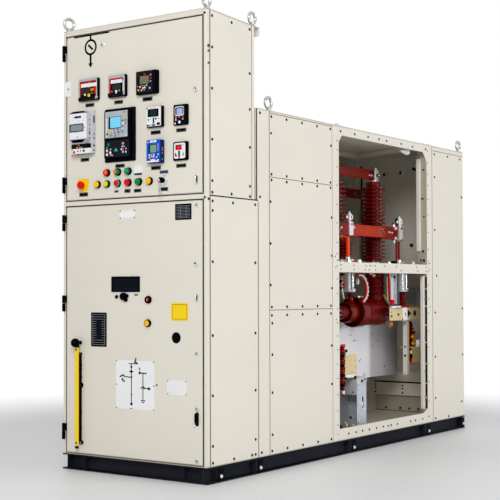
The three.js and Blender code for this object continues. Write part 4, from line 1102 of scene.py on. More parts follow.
# The key switch: a stepped bright collar, a black barrel knob, and keys hanging from it.
KEY_X, KEY_Z = 208, 1463
made.dial(KEY_X, KEY_Z, [(26, 0), (26, 3), (24.5, 4.5), (22.5, 4.6), (22, 8), (20.5, 9.5), (19, 9.6),
                         (18.5, 13), (16, 14.5), (0, 14.5)], CHROME, 40)
made.dial(KEY_X, KEY_Z, [(14.5, 13), (14.5, 34), (13, 37), (9, 38), (0, 38)], BLACK, 32)
made.dial(KEY_X, KEY_Z, [(5, 37), (5, 43), (3, 44), (0, 44)], CHROME, 20)
made.plate(205, 211, 1456, 1472, 46, 40, CHROME, 1)
for dx, dz in ((0, 0), (3, -22)):
    made.tube([(KEY_X + dx + a, -43 + dx, 1452 + dz + b) for a, b in loop(20, 7, 8)], 1.1, CHROME, 8,
              closed=True)
made.plate(209, 211, 1396, 1424, 44, 34, BRIGHT, 0.6)
made.plate(212.5, 214, 1390, 1420, 42, 33, BRIGHT, 0.5)
# The slotted screw by the mimic sign, the round lock and the lift handle.
made.dial(-195, 2179, [(13, 0), (13, 2), (11.5, 3.4), (9, 4), (8.4, 2.8), (0, 2.8)], BRIGHT)
made.plate(-203, -187, 2177, 2181, 4.4, 2, STEEL, 0.4)
round_lock(made, 405, 1894)
lift_handle(made, 408, 1432, 1486)
made.finish("upper_controls", UPPER_LEAF, "bright_metal")

# Lower door: the breaker window, knobs, buttons, locks and handles.
made = Maker()
for x0, x1, z0, z1 in ((-133, 54, 917, 927), (-133, 54, 985, 995), (-133, -124, 917, 995),
                       (45, 54, 917, 995)):
    made.plate(x0, x1, z0, z1, 5, 0.1, BLACK, 1.6, segments=3)
made.plate(-126, 47, 924, 988, 2.2, 0.1, GLASS, 0.4)
made.plate(-122, 43, 927, 929, 2.8, 1, DEEP_BLUE, 0.3)
for x, z, radius, out in ((-98, 893, 9, 8), (-50, 895, 19, 19), (-36, 878, 10, 12), (-30, 897, 10, 14)):
    made.dial(x, z, [(radius, 0), (radius, out * 0.7), (radius * 0.85, out * 0.95), (0, out)], BLACK, 32)
blank_label(made, 17, 40, 899, 907)
pilot(made, 109, 879, MILK, out=13)
made.dial(114, 880, [(9, 10), (9, 15), (7, 16.5), (0, 16.5)], RED, 24, squash=(0.6, 1))
pilot(made, 106, 763, AMBER, out=15)
made.dial(90, 748, dome(3.5, 6, 7), CHROME, 16)
made.dial(282, 695, [(27, 0), (27, 1.6), (25, 3.2), (6, 4), (0, 4)], BLACK, 40)
round_lock(made, 404, 1053)
for z in (1335, 623, 359, 110):
    made.dial(408, z, [(12, 0), (12, 2.4), (10.5, 4), (6, 4.6), (5.4, 3), (0, 3)], BRIGHT)
    cross_slot(made, 408, z, 9, 4.7, 2, 1.6, -35)
lift_handle(made, 408, 866, 914, 9)
made.plate(399, 419, 276, 342, 5, 0.1, BLACK, 1.6, 8, 3)
made.plate(402, 416, 290, 336, 17, 4, BLACK, 2, 5, 3)
for x, z, radius in ((392, 292, 5), (396, 276, 6)):
    made.dial(x, z, peg(radius, 6, radius - 2, 8), CHROME, 20)
made.finish("lower_controls", LOWER_LEAF, "bright_metal")

# The lever: a yellow bar with a rolled edge, clipped to the door, and a black ball on a stub above.
x0, x1, y0, y1, z0, z1 = limits("operating_lever")
lever_x = (x0 + x1) / 2
made = Maker()
made.box((x0, x1), (y0, y1), (z0, z1), YELLOW, 2.5, 3)
for z in (z0 + 14, z1 - 14):
    made.dial(lever_x, z, peg(6, 1.2, 4.5, 1.8), STEEL, 16, -y0 - 1)
made.turned([(0, 0), (9, 1), (10, 6), (8.6, 12), (0, 12)], (lever_x, -28, z0 - 3), BLACK, "-Z", 20)
made.stand_for("operating_lever")

BALL, BALL_STEPS = 23, 18
made = Maker()
made.dial(lever_x, 657, [(10, 0), (9, 6), (8, 20), (0, 20)], BLACK)
ball = [(BALL * math.sin(math.pi * i / BALL_STEPS), 20 + BALL - BALL * math.cos(math.pi * i / BALL_STEPS))
        for i in range(BALL_STEPS)]
made.dial(lever_x, 657, [(0, 20)] + ball[1:] + [(0, 20 + 2 * BALL)], BLACK, 36, -2)
made.turned([(12, 0), (10, 6), (9, 24), (0, 24)], (lever_x, -24, 632), BLACK, "Z", 24)
for x, z, radius, out in ((-342, 598, 9, 16), (-340, 438, 15, 15), (-334, 145, 10, 17)):
    made.dial(x, z, [(radius, 0), (radius, out * 0.6), (radius * 0.7, out), (0, out)], BLACK)
    made.dial(x + 4, z, dome(4, 1.5, 2), CHROME, 14, out)
made.plate(-347, -335, z0 + 20, z1 - 30, 21, 0.1, BLACK, 2)
for z in (540, 521, 480, 300, 220):
    made.plate(-349, -333, z - 7, z + 7, 14, 0.1, BLACK, 2)
made.finish("lever_holders", LOWER_LEAF, "black_plastic")


# ---------------------------------------------------------------- post insulators and busbars

def insulator(made, x, y, top, pitch, shed=74):
    """A ribbed resin post on a bright bolted foot, standing on the shelf: sheds, then a shouldered cap."""
    foot, core, cap = 22, 43, 40
    base = SHELF_TOP + 0.3
    height = top - base
    last = height - cap - pitch / 2
    count = int((last - 2 * foot) / pitch) + 1
    profile = [(0, foot - 2), (core + 3, foot - 2), (core + 3, foot + 3), (core, foot + 8)]
    for level in (last - i * pitch for i in reversed(range(count))):
        profile += [(core, level - 8), (core + 2, level - 7), (shed - 2, level - 6), (shed, level - 4.2),
                    (shed, level + 1.8), (shed - 2, level + 3.4), (core + 12, level + 5),
                    (core + 2, level + 6.4), (core, level + 9)]
    profile += [(core, height - cap), (core + 3, height - 38), (core + 4, height - 32),
                (core + 4, height - 20), (core + 1, height - 14), (core - 8, height - 10),
                (core - 16, height - 8), (0, height - 8)]
    made.turned(profile, (x, y, base), RESIN, segments=56)
    made.turned([(0, 0), (52, 0), (52, 6), (49, 8), (42, 9), (40, 19), (36, 22), (0, 22)], (x, y, base), ZINC,
                segments=40)
    made.turned([(20, -9), (20, -3), (14, -2), (14, 0), (0, 0)], (x, y, top), PLATED, segments=28)
    for a, b in polar(46, (-60, 30, 120, 210)):
        made.stamp(SMALL_BOLT, facing("Z", x + a, y + b, base + 7, 0.8))


def lipped_bar(made, x, y, z, mat=SLEEVE, lip=6):
    """A sleeved bar whose long edges are rolled into a shallow lip."""
    made.box(x, y, z, mat, 2.5, 3)
    for level in (z[0] + lip / 2, z[1] - lip / 2):
        made.prism(rounded(x[1] - 4, x[1] + 3, *around(level, lip / 2), 2.4, 4), "Y", y, mat, 0.5)


x0, x1, y0, y1, z0, z1 = limits("busbar_upper")
phase_x, insulator_top, bar_z = (x0 + x1) / 2, z0 - 0.3, (z0 + z1) / 2
made = Maker()
# Painted shade: the top busbar uses the darker sleeve, and a black band stands for the dark gap at its clamp.
lipped_bar(made, (x0, x1), (y0 + 24, y1 - 46), (z0, z1), SHADED_SLEEVE)
made.box((x0 - 2, x1 + 3.5), (y1 - 62, y1 - 44), (z0 - 1, z1 + 1), BLACK, 1.5)
made.box((x0 - 3, x1 + 3), (y1 - 92, y1 - 60), (z0 - 1.5, z1 + 1.5), MAROON, 2, 3)
made.box((x0 + 2, x1 - 2), (y0, y1), (z0 + 4, z1 - 4), ZINC, 1)
for start, end in ((y0 - 6, y0 + 34), (y1 - 40, y1 + 4)):              # bar clamps over the insulators
    middle = (start + end) / 2
    made.box((x1, x1 + 9), (start, end), (z0 - 12, z1 + 4), PLATED, 1.2)
    for z in ((z1 - 20, z1 + 1), (z0 - 9, z0 + 14)):
        made.box((x1 + 8, x1 + 11), (start + 14, end - 1), z, PINK, 1)
    made.box((x0 - 8, x0), (start, end), (z0 - 12, z1 + 4), PLATED, 1.2)
    made.fix(DARK_BOLT, "X", x1 + 8, (middle + 3, bar_z, 1.5, 15))
    made.boss((x1 + 16, middle + 6, bar_z), peg(5, 10, 3, 12), MILK, 12)
    made.turned(peg(6, 14, 4, 17), (x1 - 4, middle + 8, z1 + 3), ZINC, "Z", 16)
made.fix(WHITE_BOLT, "X", x1 + 3, *((y1 - y, bar_z - 4, 0.85) for y in (104, 76)))
made.stand_for("busbar_upper")

for name, pitch in (("post_insulator_front", 25), ("post_insulator_rear", 24.2)):
    y0, y1 = limits(name)[2:4]
    made = Maker()
    insulator(made, phase_x, (y0 + y1) / 2, insulator_top, pitch)
    made.stand_for(name)

x0, x1, y0, y1, z0, z1 = limits("far_phase")
far_x, far_top = (x0 + x1) / 2, z1 - 62
made = Maker()
for y in (y0 + 74, y1 - 74):
    insulator(made, far_x, y, far_top, 23.6)
made.box(around(far_x, 6), (y0 + 40, y1 - 40), (far_top, z1), MAROON, 3, 3)
made.fix(BOLT, "X", far_x + 6, *((2520, far_top + up, 1.3) for up in (14, 40)))
made.fix(DARK_BOLT, "X", far_x + 6, *((y, far_top + 30, 1.2) for y in (2420, 2444)))
for up in (14, 40):
    made.boss((far_x + 8, 2524, far_top + up), [(12, 0), (12, 5), (9, 8), (0, 9)], BRASS)
made.stand_for("far_phase")

x0, x1, y0, y1, _, z1 = limits("link_insulator")
made = Maker()
insulator(made, (x0 + x1) / 2, (y0 + y1) / 2, z1, 19, 70)
made.stand_for("link_insulator")

# The link bar: a lipped bar with a moulded cover round each end.
x0, x1, y0, y1, z0, z1 = limits("link_bar")
mid_x, bar_low, bar_high = (x0 + x1) / 2, z0 + 8, z1 - 4
link_face = x1 - 3.7
made = Maker()
lipped_bar(made, around(mid_x, 7), (y0 + 4, y1), (bar_low, bar_high), lip=8)
for start, end in ((y0, 1595), (2056, 2222)):
    made.box((x0, x1), (start, end), (z0, z1), MAROON, 4, 3)
    for z in ((z0 + 12, z0 + 30), (z1 - 30, z1 - 12)):
        made.box((x0 + 2, x1 + 2.5), (start + 20, end - 24), z, MAROON, 2, 3)
made.tube([(x1 - 3, 2030 + 26 * a, (z0 + z1) / 2 + 38 * b) for a, b in polar(1, range(-80, 81, 10))], 4,
          SLEEVE, 10)
made.fix(DARK_BOLT, "X", mid_x + 7, (2012, bar_low + 42), (2016, bar_low + 26), (2048, bar_low + 46))
made.fix(DARK_BOLT, "X", x1, (1506, z0 + 30, 1.1))
made.boss((x1, 1512, z0 + 50), [(7, 0), (6, 5), (0, 6)], MILK)
made.fix(SMALL_BOLT, "X", mid_x + 7, (1668, bar_high - 20, 1.2))
made.fix(WHITE_BOLT, "X", x1 + 1, (2100, z0 + 44, 0.7), (2118, z0 + 42, 0.6), (2140, z0 + 42, 0.7),
         (2186, z1 - 10, 1.3), (2186, z0 + 8, 1.3))
made.turned(peg(9, 16, 6, 20), (mid_x, 2186, z1 - 2), PLATED, "Z", 16)
made.turned(peg(9, 22, 6, 26), (mid_x, 2190, z0 + 2), ZINC, "-Z", 16)
for y, mat in ((1506, ORANGE), (1530, RED), (1560, ZINC)):
    made.boss((x1 - 2, y, z0 - 4), peg(10, 10, 7, 14), mat)
made.stand_for("link_bar")


def link_post(name, y, rod_x, rod_y, rod_radius, rod, clamp, knob):
    """A clamp plate with a pin and ring above it, on a rod with a foot."""
    z0, z1 = limits(name)[4:]
    x, low, top = link_face, z1 - 96, z1
    made = Maker()
    made.box((x, x + 8), around(y, 23), (low, top), PLATED, 1.6)
    made.box((min(x, rod_x - 11), max(x + 8, rod_x + 11)), around(y, 23), (low, low + 8), clamp, 1.2)
    made.box(around(rod_x, 11), (min(y - 23, rod_y - 11), max(y + 23, rod_y + 11)), (low + 0.4, low + 7.6),
             clamp, 1.2)
    made.boss((x + 8, y + 4, top - 16), [(8, 0), (7, 3), (4, 5), (0, 5)], knob)
    made.box((x + 2, x + 9.5), (y + 1, y + 19), (low - 1, low + 17), RED, 2)
    made.box((x + 2, x + 9), (y + 4, y + 22), (top - 8, top + 1), PINK, 2)
    length = low - 1 - z0
    made.turned(dome(rod_radius, length, length), (rod_x, rod_y, z0), rod, segments=28)
    made.turned([(21, 0), (21, 8), (19, 10), (17, 14), (0, 14)], (rod_x, rod_y, z0), PLATED)
    made.turned([(15, 12), (15, 30), (12, 35), (0, 35)], (rod_x, rod_y, z0), PLATED, segments=6)
    made.box((rod_x + 18, rod_x + 34), (rod_y - 4, rod_y + 14), (z0 + 1, z0 + 22), PLATED, 2)
    made.box((rod_x + 30, rod_x + 42), (rod_y - 4, rod_y + 12), (z0 + 0.5, z0 + 14), RED, 3)
    made.turned([(7, 0), (7, 40), (10, 44), (10, 52), (5, 58), (4, 66), (0, 66)], (x + 2, y - 14, top - 6),
                MILK, segments=20)
    made.tube([(x + 3, y + 5 + a, top + 26 + b) for a, b in loop(24, 12, 14)], 4, MILK, 10, closed=True)
    made.boss((x - 6, y - 46, top + 30), dome(17, 7, 9), MAROON if knob == RED else BLACK, 24)
    made.boss((x + 2, y - 48, top + 24), dome(9, 5, 7), MILK, 20)
    made.box((x - 4, x), (y - 58, y - 16), (top - 4, top + 14), MAROON, 2)
    return made


# Painted shade: the first post's clamp arms are maroon where they lie in shade under the link bar.
made = link_post("link_post_1", 1627, limits("link_post_1")[1] - 21, 1489, 11, GLOSS_ORANGE, MAROON, RED)
made.stand_for("link_post_1")
x0, _, _, _, z0, _ = limits("link_post_2")
made = link_post("link_post_2", 2262, x0 + 21, 2278, 7, MAROON, PLATED, BLACK)
ribs = [(0, 14)]                                       # a ribbed rod beside the second post's plain one
for i in range(8):
    ribs += [(5, 18 + i * 17), (7.5, 22 + i * 17), (7.5, 25 + i * 17), (5, 29 + i * 17)]
made.turned(ribs + [(5, 152), (0, 152)], (x0 + 12, 2262, z0), MAROON, segments=24)
made.stand_for("link_post_2")

# Small fittings that stand on the shelf along its open side.
made = Maker()
for x, y, radius, tall, mat in (
        (330, 1712, 16, 26, PLATED), (392, 1300, 12, 24, MILK), (384, 1404, 14, 18, ZINC),
        (390, 1480, 13, 22, CHROME), (330, 2080, 15, 20, CHROME), (340, 2130, 18, 24, BLACK),
        (350, 2178, 13, 16, ZINC), (300, 2200, 22, 12, BLACK), (380, 2320, 11, 22, MILK)):
    made.turned(peg(radius, tall * 0.7, radius * 0.7, tall), (x, y, SHELF_TOP + 0.3), mat, "Z", 18)
made.finish("shelf_fittings", CABINET, "bright_metal")


# ---------------------------------------------------------------- cable space

def stack(count, first, pitch, *ring):
    """The points of one ring, repeated at a pitch: (radius, height) pairs."""
    return [(radius, first + i * pitch + height) for i in range(count) for radius, height in ring]


_, _, _, y1, z0, _ = limits("current_transformer")
neck_y, axis_z = y1 - 43, z0 + 94
made = Maker()
body = [(0, -43), (80, -43), (86, -39), (88, -34), (88, 24), (85, 30), (84, 32), (82, 44)]
body += stack(7, 60, 18, (84, 0), (84, 5), (82.6, 8), (82.6, 11))      # winding marks round the long body
body += [(84, 196), (84, 206), (80, 212), (80, 214), (90, 215), (94, 219), (94, 276), (92.4, 282),
         (92.4, 290), (88, 294), (84, 290), (81, 289), (78, 291), (76, 296), (66, 297), (60, 298), (60, 303),
         (62, 305), (64, 310), (64, 384), (61, 392), (56, 395), (52, 391), (49, 391), (46, 396), (42, 397),
         (42, 404), (40, 410), (42, 416), (40, 440), (36, 462), (30, 470), (0, 470)]
made.dial(phase_x, axis_z, body, RESIN, 72, -neck_y)
# Painted shade: dark shells on the rings' front faces and in the groove behind the widest ring.
for shell in ([(61, 303), (61, 297.7), (66, 297.7), (76, 296.7), (78.6, 291.8), (81, 289.8), (84, 290.8),
               (87.4, 294.2)],
              [(44, 397.6), (47, 396.4), (50, 391.6), (52, 391.6), (56, 395.4), (58, 394.4)],
              [(86.4, 214.4), (84.6, 213), (84.6, 207), (84.6, 197)]):
    under = [(radius - 1.2, at - 1.2) for radius, at in reversed(shell)]
    made.dial(phase_x, axis_z, shell + under + shell[:1], DARK_RESIN, 72, -neck_y)
neck_top = SHELF_UNDER - axis_z - 0.3
neck = [(0, 40), (60, 60), (58, 92)]
neck += stack(6, 104, 30, (56, 0), (58, 3), (62, 9), (62, 12), (58, 17), (56, 22))
neck += [(58, neck_top - 9), (62, neck_top - 5), (62, neck_top), (0, neck_top)]
made.turned(neck, (phase_x, neck_y, axis_z), RESIN, "Z", 56)
made.turned([(30, 58), (24, 68), (19, 74), (19, 96), (24, 100), (24, 104), (19, 108), (19, 124.5),
             (0, 124.5)], (phase_x, neck_y - 310, axis_z), RESIN, "Z", 36)
for t, back in ((0.22, 14), (-0.05, 14), (-0.3, 14), (0.08, 26)):
    made.fix(DARK_BOLT, "X", phase_x + 86 * math.cos(t), (neck_y - 4 + back, axis_z + 86 * math.sin(t), 1.05))
for a, b in polar(26, range(30, 390, 60)):
    made.fix(SMALL_BOLT, "-Y", neck_y - 469, (phase_x + a, axis_z + b, 0.8))
made.stand_for("current_transformer")

for name in ("shield_tube_front", "shield_tube_rear"):
    x0, x1, y0, y1, z0, z1 = limits(name)
    x, y, tall = (x0 + x1) / 2, (y0 + y1) / 2, z1 - z0
    made = Maker()
    made.turned([(0, 14), (29, 14), (29, 3), (33, 0), (35, 1.5), (35, 9), (33.4, 12), (33.4, tall - 14),
                 (35, tall - 12), (35, tall), (0, tall)], (x, y, z0), TUBE, "Z", 72)
    made.box((x + 30, x + 36), (y - 16, y + 18), (z0 + 1, z0 + 20), PLATED, 1.5)
    made.fix(DARK_BOLT, "X", x + 35, (y + 2, z0 + 26, 0.8))
    # Painted reflections: strips of chrome, dark steel and silver down the tube stand for its reflections.
    for turn, width, mat in ((-62, 6, CHROME), (-28, 7, STEEL), (-8, 5, CHROME), (38, 5, SILVER)):
        (a, b), = polar(34.4 - width, (turn,))         # painted reflections: bright and dark bands down the tube
        made.turned([(width, 14), (width, tall - 16), (0, tall - 16)], (x + a, y + b, z0), mat, "Z", 24)
    made.stand_for(name)

x0, x1, y0, y1, z0, z1 = limits("support_insulator")
x, y, tall = (x0 + x1) / 2, (y0 + y1) / 2, z1 - z0
profile = [(0, 0), (32, 0), (32, 12), (30, 17), (24, 20), (19, 26)]
profile += stack(5, 32, (tall - 44) / 4, (17, -4), (22, -1), (22, 1.5), (17, 4.5))
made = Maker()
made.turned(profile + [(20, tall - 3), (20, tall), (0, tall)], (x, y, z0), RESIN, "Z", 44)
made.box((x + 6, x + 33), (y - 14, y + 31), (z0, z0 + 17), RED, 4, 3)
made.stand_for("support_insulator")

# Fixings and small parts of the two cream brackets and their post.
_, face, _, _, z0, top = limits("cream_bracket_upper")
proud = (face - 1, face + 1)
made = Maker()
made.fix(NAVY_BOLT, "X", face, (2162, z0 + 36, 1.1))
made.fix(DARK_BOLT, "X", face, (2074, z0 + 27, 0.9), (2076, z0 + 52, 0.5), (2222, z0 + 5, 0.7))
made.prism(rounded(2066, 2150, z0 + 34, z0 + 46, 5), "X", (face - 1, face + 1.5), BEIGE, 0.6)
made.box((face - 30, face + 2), (2231, 2288), (z0 - 3, top + 0.8), MILK, 1)
made.boss((face + 1.5, 2262, z0 + 36), [(8, 0), (6, 3), (0, 4)], TAN, squash=(1.6, 0.7))
made.prism([(2294, top - 8), (2326, top - 30), (2342, top - 34), (2342, top - 42), (2326, top - 42),
            (2304, top - 58), (2294, top - 60)], "X", proud, BLACK, 0.3)
made.prism(rounded(2372, 2412, z0 + 22, z0 + 60, 12), "X", proud, TAN, 0.3)
# Painted shade: a dark plate for the hole in the tan boss.
made.prism(rounded(2379, 2407, z0 + 28, z0 + 54, 10), "X", (face, face + 1.6), HOLE_SHADE, 0.2)
made.box((face - 3, face + 1.4), (2056, 2440), (z0 - 1, z0 + 9), CREAM, 1)
made.box((350, 367), (2056, 2180), (top + 0.5, top + 13), MILK, 2)
made.box((348, 368), (2110, 2186), (top + 0.2, top + 3), BLACK, 0.8)
made.boss((face - 8, 2078, z0 - 22), [(12, 0), (12, 8), (8, 14), (0, 16)], ORANGE, 24)
made.boss((face - 12, 2082, z0 - 26), [(17, -6), (17, 0), (14, 3), (0, 3)], TAN, 28, (1.2, 1))
made.box((296, 346), (2050, 2056), (top - 4, top + 1.4), DARK_RESIN, 0.8)
_, face, start, _, z0, top = limits("cream_bracket_lower")
made.fix(NAVY_BOLT, "X", face, (start + 112, z0 + 44), (start + 118, z0 + 64, 0.7),
         (start + 110, z0 + 20, 0.6))
made.box((320, 332), (2350, 2394), (z0 + 4, z0 + 92), MAROON, 3)
made.boss((336, 2366, z0 + 66), peg(12, 6, 8, 10), PLATED, 20)
made.boss((336, 2372, z0 + 40), dome(10, 6, 8), NAVY, 20)
made.boss((334, 2368, z0 - 2), [(9, 0), (8, 6), (0, 7)], RED, 20)
made.box((face - 22, face + 1), (start + 92, start + 150), (top, top + 44), MILK, 2)
made.prism([(start - 2, z0), (start + 12, z0 + 6), (start + 12, top - 4), (start - 2, top)], "X",
           (face - 1, face + 1), AMBER, 0.4)
x0, x1, y0, y1, z0, z1 = limits("bracket_post")
made.box((x0, x1), (y0 - 1.2, y0 + 0.4), (z0 + 2, z1 - 2), PLATED, 0.5)
made.box((x1 - 1, x1 + 1), (y0 + 4, y1), (z0 + 2, z1 - 2), CREAM, 0.5)
for z, scale in ((706, 1), (560, 1.5), (504, 1.8), (640, 0.8), (498, 1.2)):
    made.fix(RIVET, "-Y", y0 - 1, (x0 + 14, z, scale))
made.finish("bracket_fixings", CABINET, "bright_metal")

# Straps, cables and small parts round the transformer.
made = Maker()
strap = [(286, 2118, SHELF_UNDER - 3), (290, 2124, SHELF_UNDER - 20), (298, 2136, SHELF_UNDER - 44),
         (302, 2142, SHELF_UNDER - 90), (304, 2143, SHELF_UNDER - 170), (304, 2146, 852)]
made.tube(strap, 6.5, RED, 14)
made.box((300, 324), (2140, 2176), (835, 862), RED, 4, 3)
made.turned(dome(12, 14, 16), (292, 2118, SHELF_UNDER - 20), RED, "Z", 16)
made.tube([(296, 2124, SHELF_UNDER - 70), (298, 2126, 850)], 3.5, BEIGE, 10)
outer = [(266, y, z) for y, z in ((1819, 1012), (1846, 1016), (1872, 1009), (1900, 992), (1919, 966),
                                  (1929, 940), (1930, 914), (1922, 890), (1907, 871), (1880, 854))]
made.tube([(x - 8, y - 6, z) for x, y, z in outer], 7.5, RED)
made.tube(outer, 5.5, MILK)
for x, y, z in outer[2:]:
    made.turned(dome(8, 6, 8), (x + 1, y, z - 3), PLATED, "Z", 14)
for x, y, z in ((40, 236, 1046), (48, 208, 1046), (58, 186, 1056), (62, 176, 1030), (66, 146, 1016)):
    made.boss((phase_x + x, neck_y - y, z), [(10, 0), (12, 3), (12, 9), (9, 13), (0, 13)], BEIGE, 20)
    made.boss((phase_x + x, neck_y - y, z), dome(5, 17, 18), CHROME, 12)
for i, mat in enumerate((NAVY, PLATED, CHROME, TEAL, PLATED, BEIGE)):   # fasteners on the widest ring
    made.turned(peg(7, 6, 4, 9), (phase_x + 34, neck_y - 292 + i * 14, axis_z + 92), mat, "Z", 14)
made.boss((phase_x + 50, neck_y - 310, 976), [(11, -6), (11, 6), (8, 9), (0, 10)], PLATED, 24, (1.7, 0.7))
made.box((phase_x + 20, phase_x + 60), (neck_y - 120, neck_y - 20), (SHELF_UNDER - 14, SHELF_UNDER - 2),
         ZINC, 1.5)
made.tube([(280, 2108, 892), (288, 2114, 876), (298, 2124, 862)], 3.5, GREEN_YELLOW, 10)
for z in (1040, 1018, 996, 974, 952):
    made.boss((phase_x + 70, neck_y - 2, z), dome(6, 5, 6), TAN, 12)
for x, y, z, mat in ((170, 1770, 1020, BLACK), (176, 1764, 1000, ORANGE), (168, 1762, 976, BLACK),
                     (178, 1770, 956, RED), (172, 1766, 936, BLACK)):
    made.boss((x, y, z), peg(11, 10, 7, 14), mat)
made.tube([(174, 1768, SHELF_UNDER - 3), (176, 1766, 980), (182, 1762, 920), (196, 1756, 870)], 6, PLATED)
made.finish("straps", CABINET, "busbar_sleeve")

made = Maker()
plate_z = (834, SHELF_UNDER - 0.5)
made.box((296, 300), (2140, 2252), plate_z, ZINC, 1.2)
made.box((299, 303), (2142, 2156), plate_z, PLATED, 1)
made.box((300, 304), (2164, 2196), (834, 1000), MILK, 1)
made.fix(DARK_BOLT, "X", 301, (2208, 1006, 1.3))
made.fix(WHITE_BOLT, "X", 301, (2226, 984, 1.2))
made.box((120, 160), (2560, 2850), (822, 936), ZINC, 2)                # a galvanised box on the rear wall
made.box((162, 300), (2780, REAR_WALL_INSIDE - 1), (822, 932), ZINC, 2)
made.fix(WHITE_BOLT, "-Y", 2780, (250, 912, 1.4), (290, 862, 1.3))
made.finish("shield_plate", CABINET, "zinc_plate")

# A small insulator for the next phase, on its own cream angle beyond the post.
made = Maker()
stand_x, stand_y, stand_z = 262, 2500, 556
profile = [(0, 0), (30, 0), (30, 6), (22, 12)]
profile += stack(5, 22, 22, (18, -6), (20, -2), (29, 0), (30, 3), (26, 6), (19, 9), (18, 13))
made.turned(profile + [(20, 134), (20, 144), (10, 160), (0, 164)], (stand_x, stand_y, stand_z), RESIN, "Z",
            36)
made.box((stand_x - 46, stand_x + 30), (stand_y - 60, REAR_WALL_INSIDE - 1), (stand_z - 8, stand_z - 1),
         CREAM, 1.2)
made.box((stand_x + 24, stand_x + 30), (stand_y - 60, REAR_WALL_INSIDE - 1), (stand_z - 60, stand_z - 1),
         CREAM, 1.2)
for y, z, mat in ((-14, 18, AMBER), (8, 44, ORANGE), (-20, 62, AMBER), (0, 90, MAROON)):
    made.boss((stand_x + 24, stand_y + y, stand_z + z), peg(11, 10, 7, 14), mat, 18)
made.finish("rear_support_insulator", CABINET, "red_resin")

# Barrier fixings, the terminal strip stand_y the front post, and its cream plate.
_, face, _, _, z0, _ = limits("barrier_sheet")
made = Maker()
made.fix(RIVET, "X", face, (2010, 640), (2054, 602, 1.2), (2070, 604), (2300, 636), (2300, 560),
         (2120, 470, 1.3), (2140, 480), (1960, 690), (2460, 700, 1.3), (2460, 420, 1.3), (2360, 592),
         (1900, 400, 1.3))
made.box((face - 0.5, face + 2), (1852, 2638), (z0, z0 + 8), WHITE_SHADED_TO_REAR, 0.8)
made.finish("barrier_fixings", CABINET, "bright_metal")

made = Maker()
made.box((372, 392), (1405, 1424), (350, 600), BLACK, 1.5)
for i in range(17):
    z = 358 + i * 14
    made.box((376, 394), (1402, 1416), (z, z + 9), (MAROON, BLACK, MAROON, RED)[i % 4], 1)
    made.box((376, 395), (1424, 1432), (z, z + 8), (ORANGE, MAROON, BLACK)[i % 3], 1)
    made.boss((393, 1419, z + 12), [(3.4, 0), (3, 3), (0, 4)], BLACK, 10)
made.box((380, 394), (1398, 1436), (596, 612), RED, 2)
made.boss((394, 1428, 588), [(9, 0), (8, 4), (0, 5)], MILK)
for x, y, z, profile, mat in (
        (388, 1438, 574, dome(9, 12, 14), BLACK), (390, 1440, 556, dome(9, 10, 12), MILK),
        (388, 1412, 336, dome(10, 8, 9), MILK), (379, 1456, 412, dome(10, 5, 6), BLACK),
        (379, 1568, 412, dome(10, 5, 6), BLACK)):
    made.boss((x, y, z), profile, mat)
made.box((382, 394), (1408, 1432), (318, 338), RED, 2)
made.box((372, 376), (1440, 1594), (438, 548), CREAM, 0.8)
made.box((350, 379), (1440, 1598), (430, 439), CREAM, 1.2)
made.box((348, 380), (1450, 1560), (414, 431), MILK, 2)
made.fix(SMALL_BOLT, "X", 376, (1584, 512, 0.9), (1584, 470, 0.9), (1540, 446, 0.9))
made.finish("terminal_strip", CABINET, "cream_paint")

# The cable column's head, its oval hole, a dark plate of painted shade, and the glands at its foot.
x0, face, y0, y1, _, z1 = limits("cable_column")
made = Maker()
oval = rounded(y0 + 52, y0 + 76, 226, 300, 11.5, 8)
made.prism(oval, "X", (face - 1, face + 0.6), HOLE_SHADE, 0)
made.tube([(face + 0.4, y, z) for y, z in oval], 2, PLATED, 8, closed=True)
made.boss((face, y0 + 56, 252), [(9, 0), (8, 3), (0, 3)], PLATED, squash=(1.8, 1))
made.box((x0, face + 3), (y0 - 3, y1 + 2), (z1 + 0.3, z1 + 6), CREAM, 1.2)
made.box((face - 4, face + 2), (y1 - 30, y1 + 3), (z1 - 20, z1 + 24), ZINC, 1.2)
made.box((x0, face - 2), (y0 - 2.5, y0 + 0.5), (z1 - 92, z1 - 2), SILVER, 1)
made.box((x0, face - 2), (y0 - 4, y0 + 0.5), (z1 - 96, z1 - 90), ZINC, 1)
made.fix(DARK_BOLT, "X", face, (y0 + 52, 388, 1.2), (y0 + 88, 396, 0.9), (y0 + 100, 120, 0.8),
         (y0 + 116, 122, 1.1))
made.fix(SMALL_BOLT, "X", face, (y0 + 12, 366, 1.2), (y0 + 88, 378, 1.2), (y0 + 12, 150, 1.2))
made.fix(DARK_BOLT, "-Y", y0, (348, 176, 1.1), (312, 252, 0.5), (362, 324, 0.7))
made.fix(BOLT, "-Y", y0, (362, 130, 0.9))
for x, y, tall, radius, mat in (
        (300, 1530, 50, 15, BLACK), (336, 1540, 62, 13, BRASS), (362, 1524, 44, 12, BLACK),
        (318, 1560, 70, 12, BEIGE), (350, 1562, 40, 14, BLACK), (378, 1548, 30, 11, MILK),
        (286, 1556, 58, 12, BEIGE), (384, 1512, 36, 12, BLACK), (398, 1530, 24, 10, TAN),
        (402, 1560, 28, 11, BLACK)):
    made.turned([(radius, 0), (radius, 12), (radius * 0.8, 14)], (x, y, FLOOR_TOP + 0.3), BRASS, "Z", 6)
    made.turned([(radius * 0.8, 12), (radius * 0.8, tall * 0.6), (radius * 0.5, tall), (0, tall)],
                (x, y, FLOOR_TOP + 0.3), mat, "Z", 20)
made.finish("cable_column_fittings", CABINET, "zinc_plate")

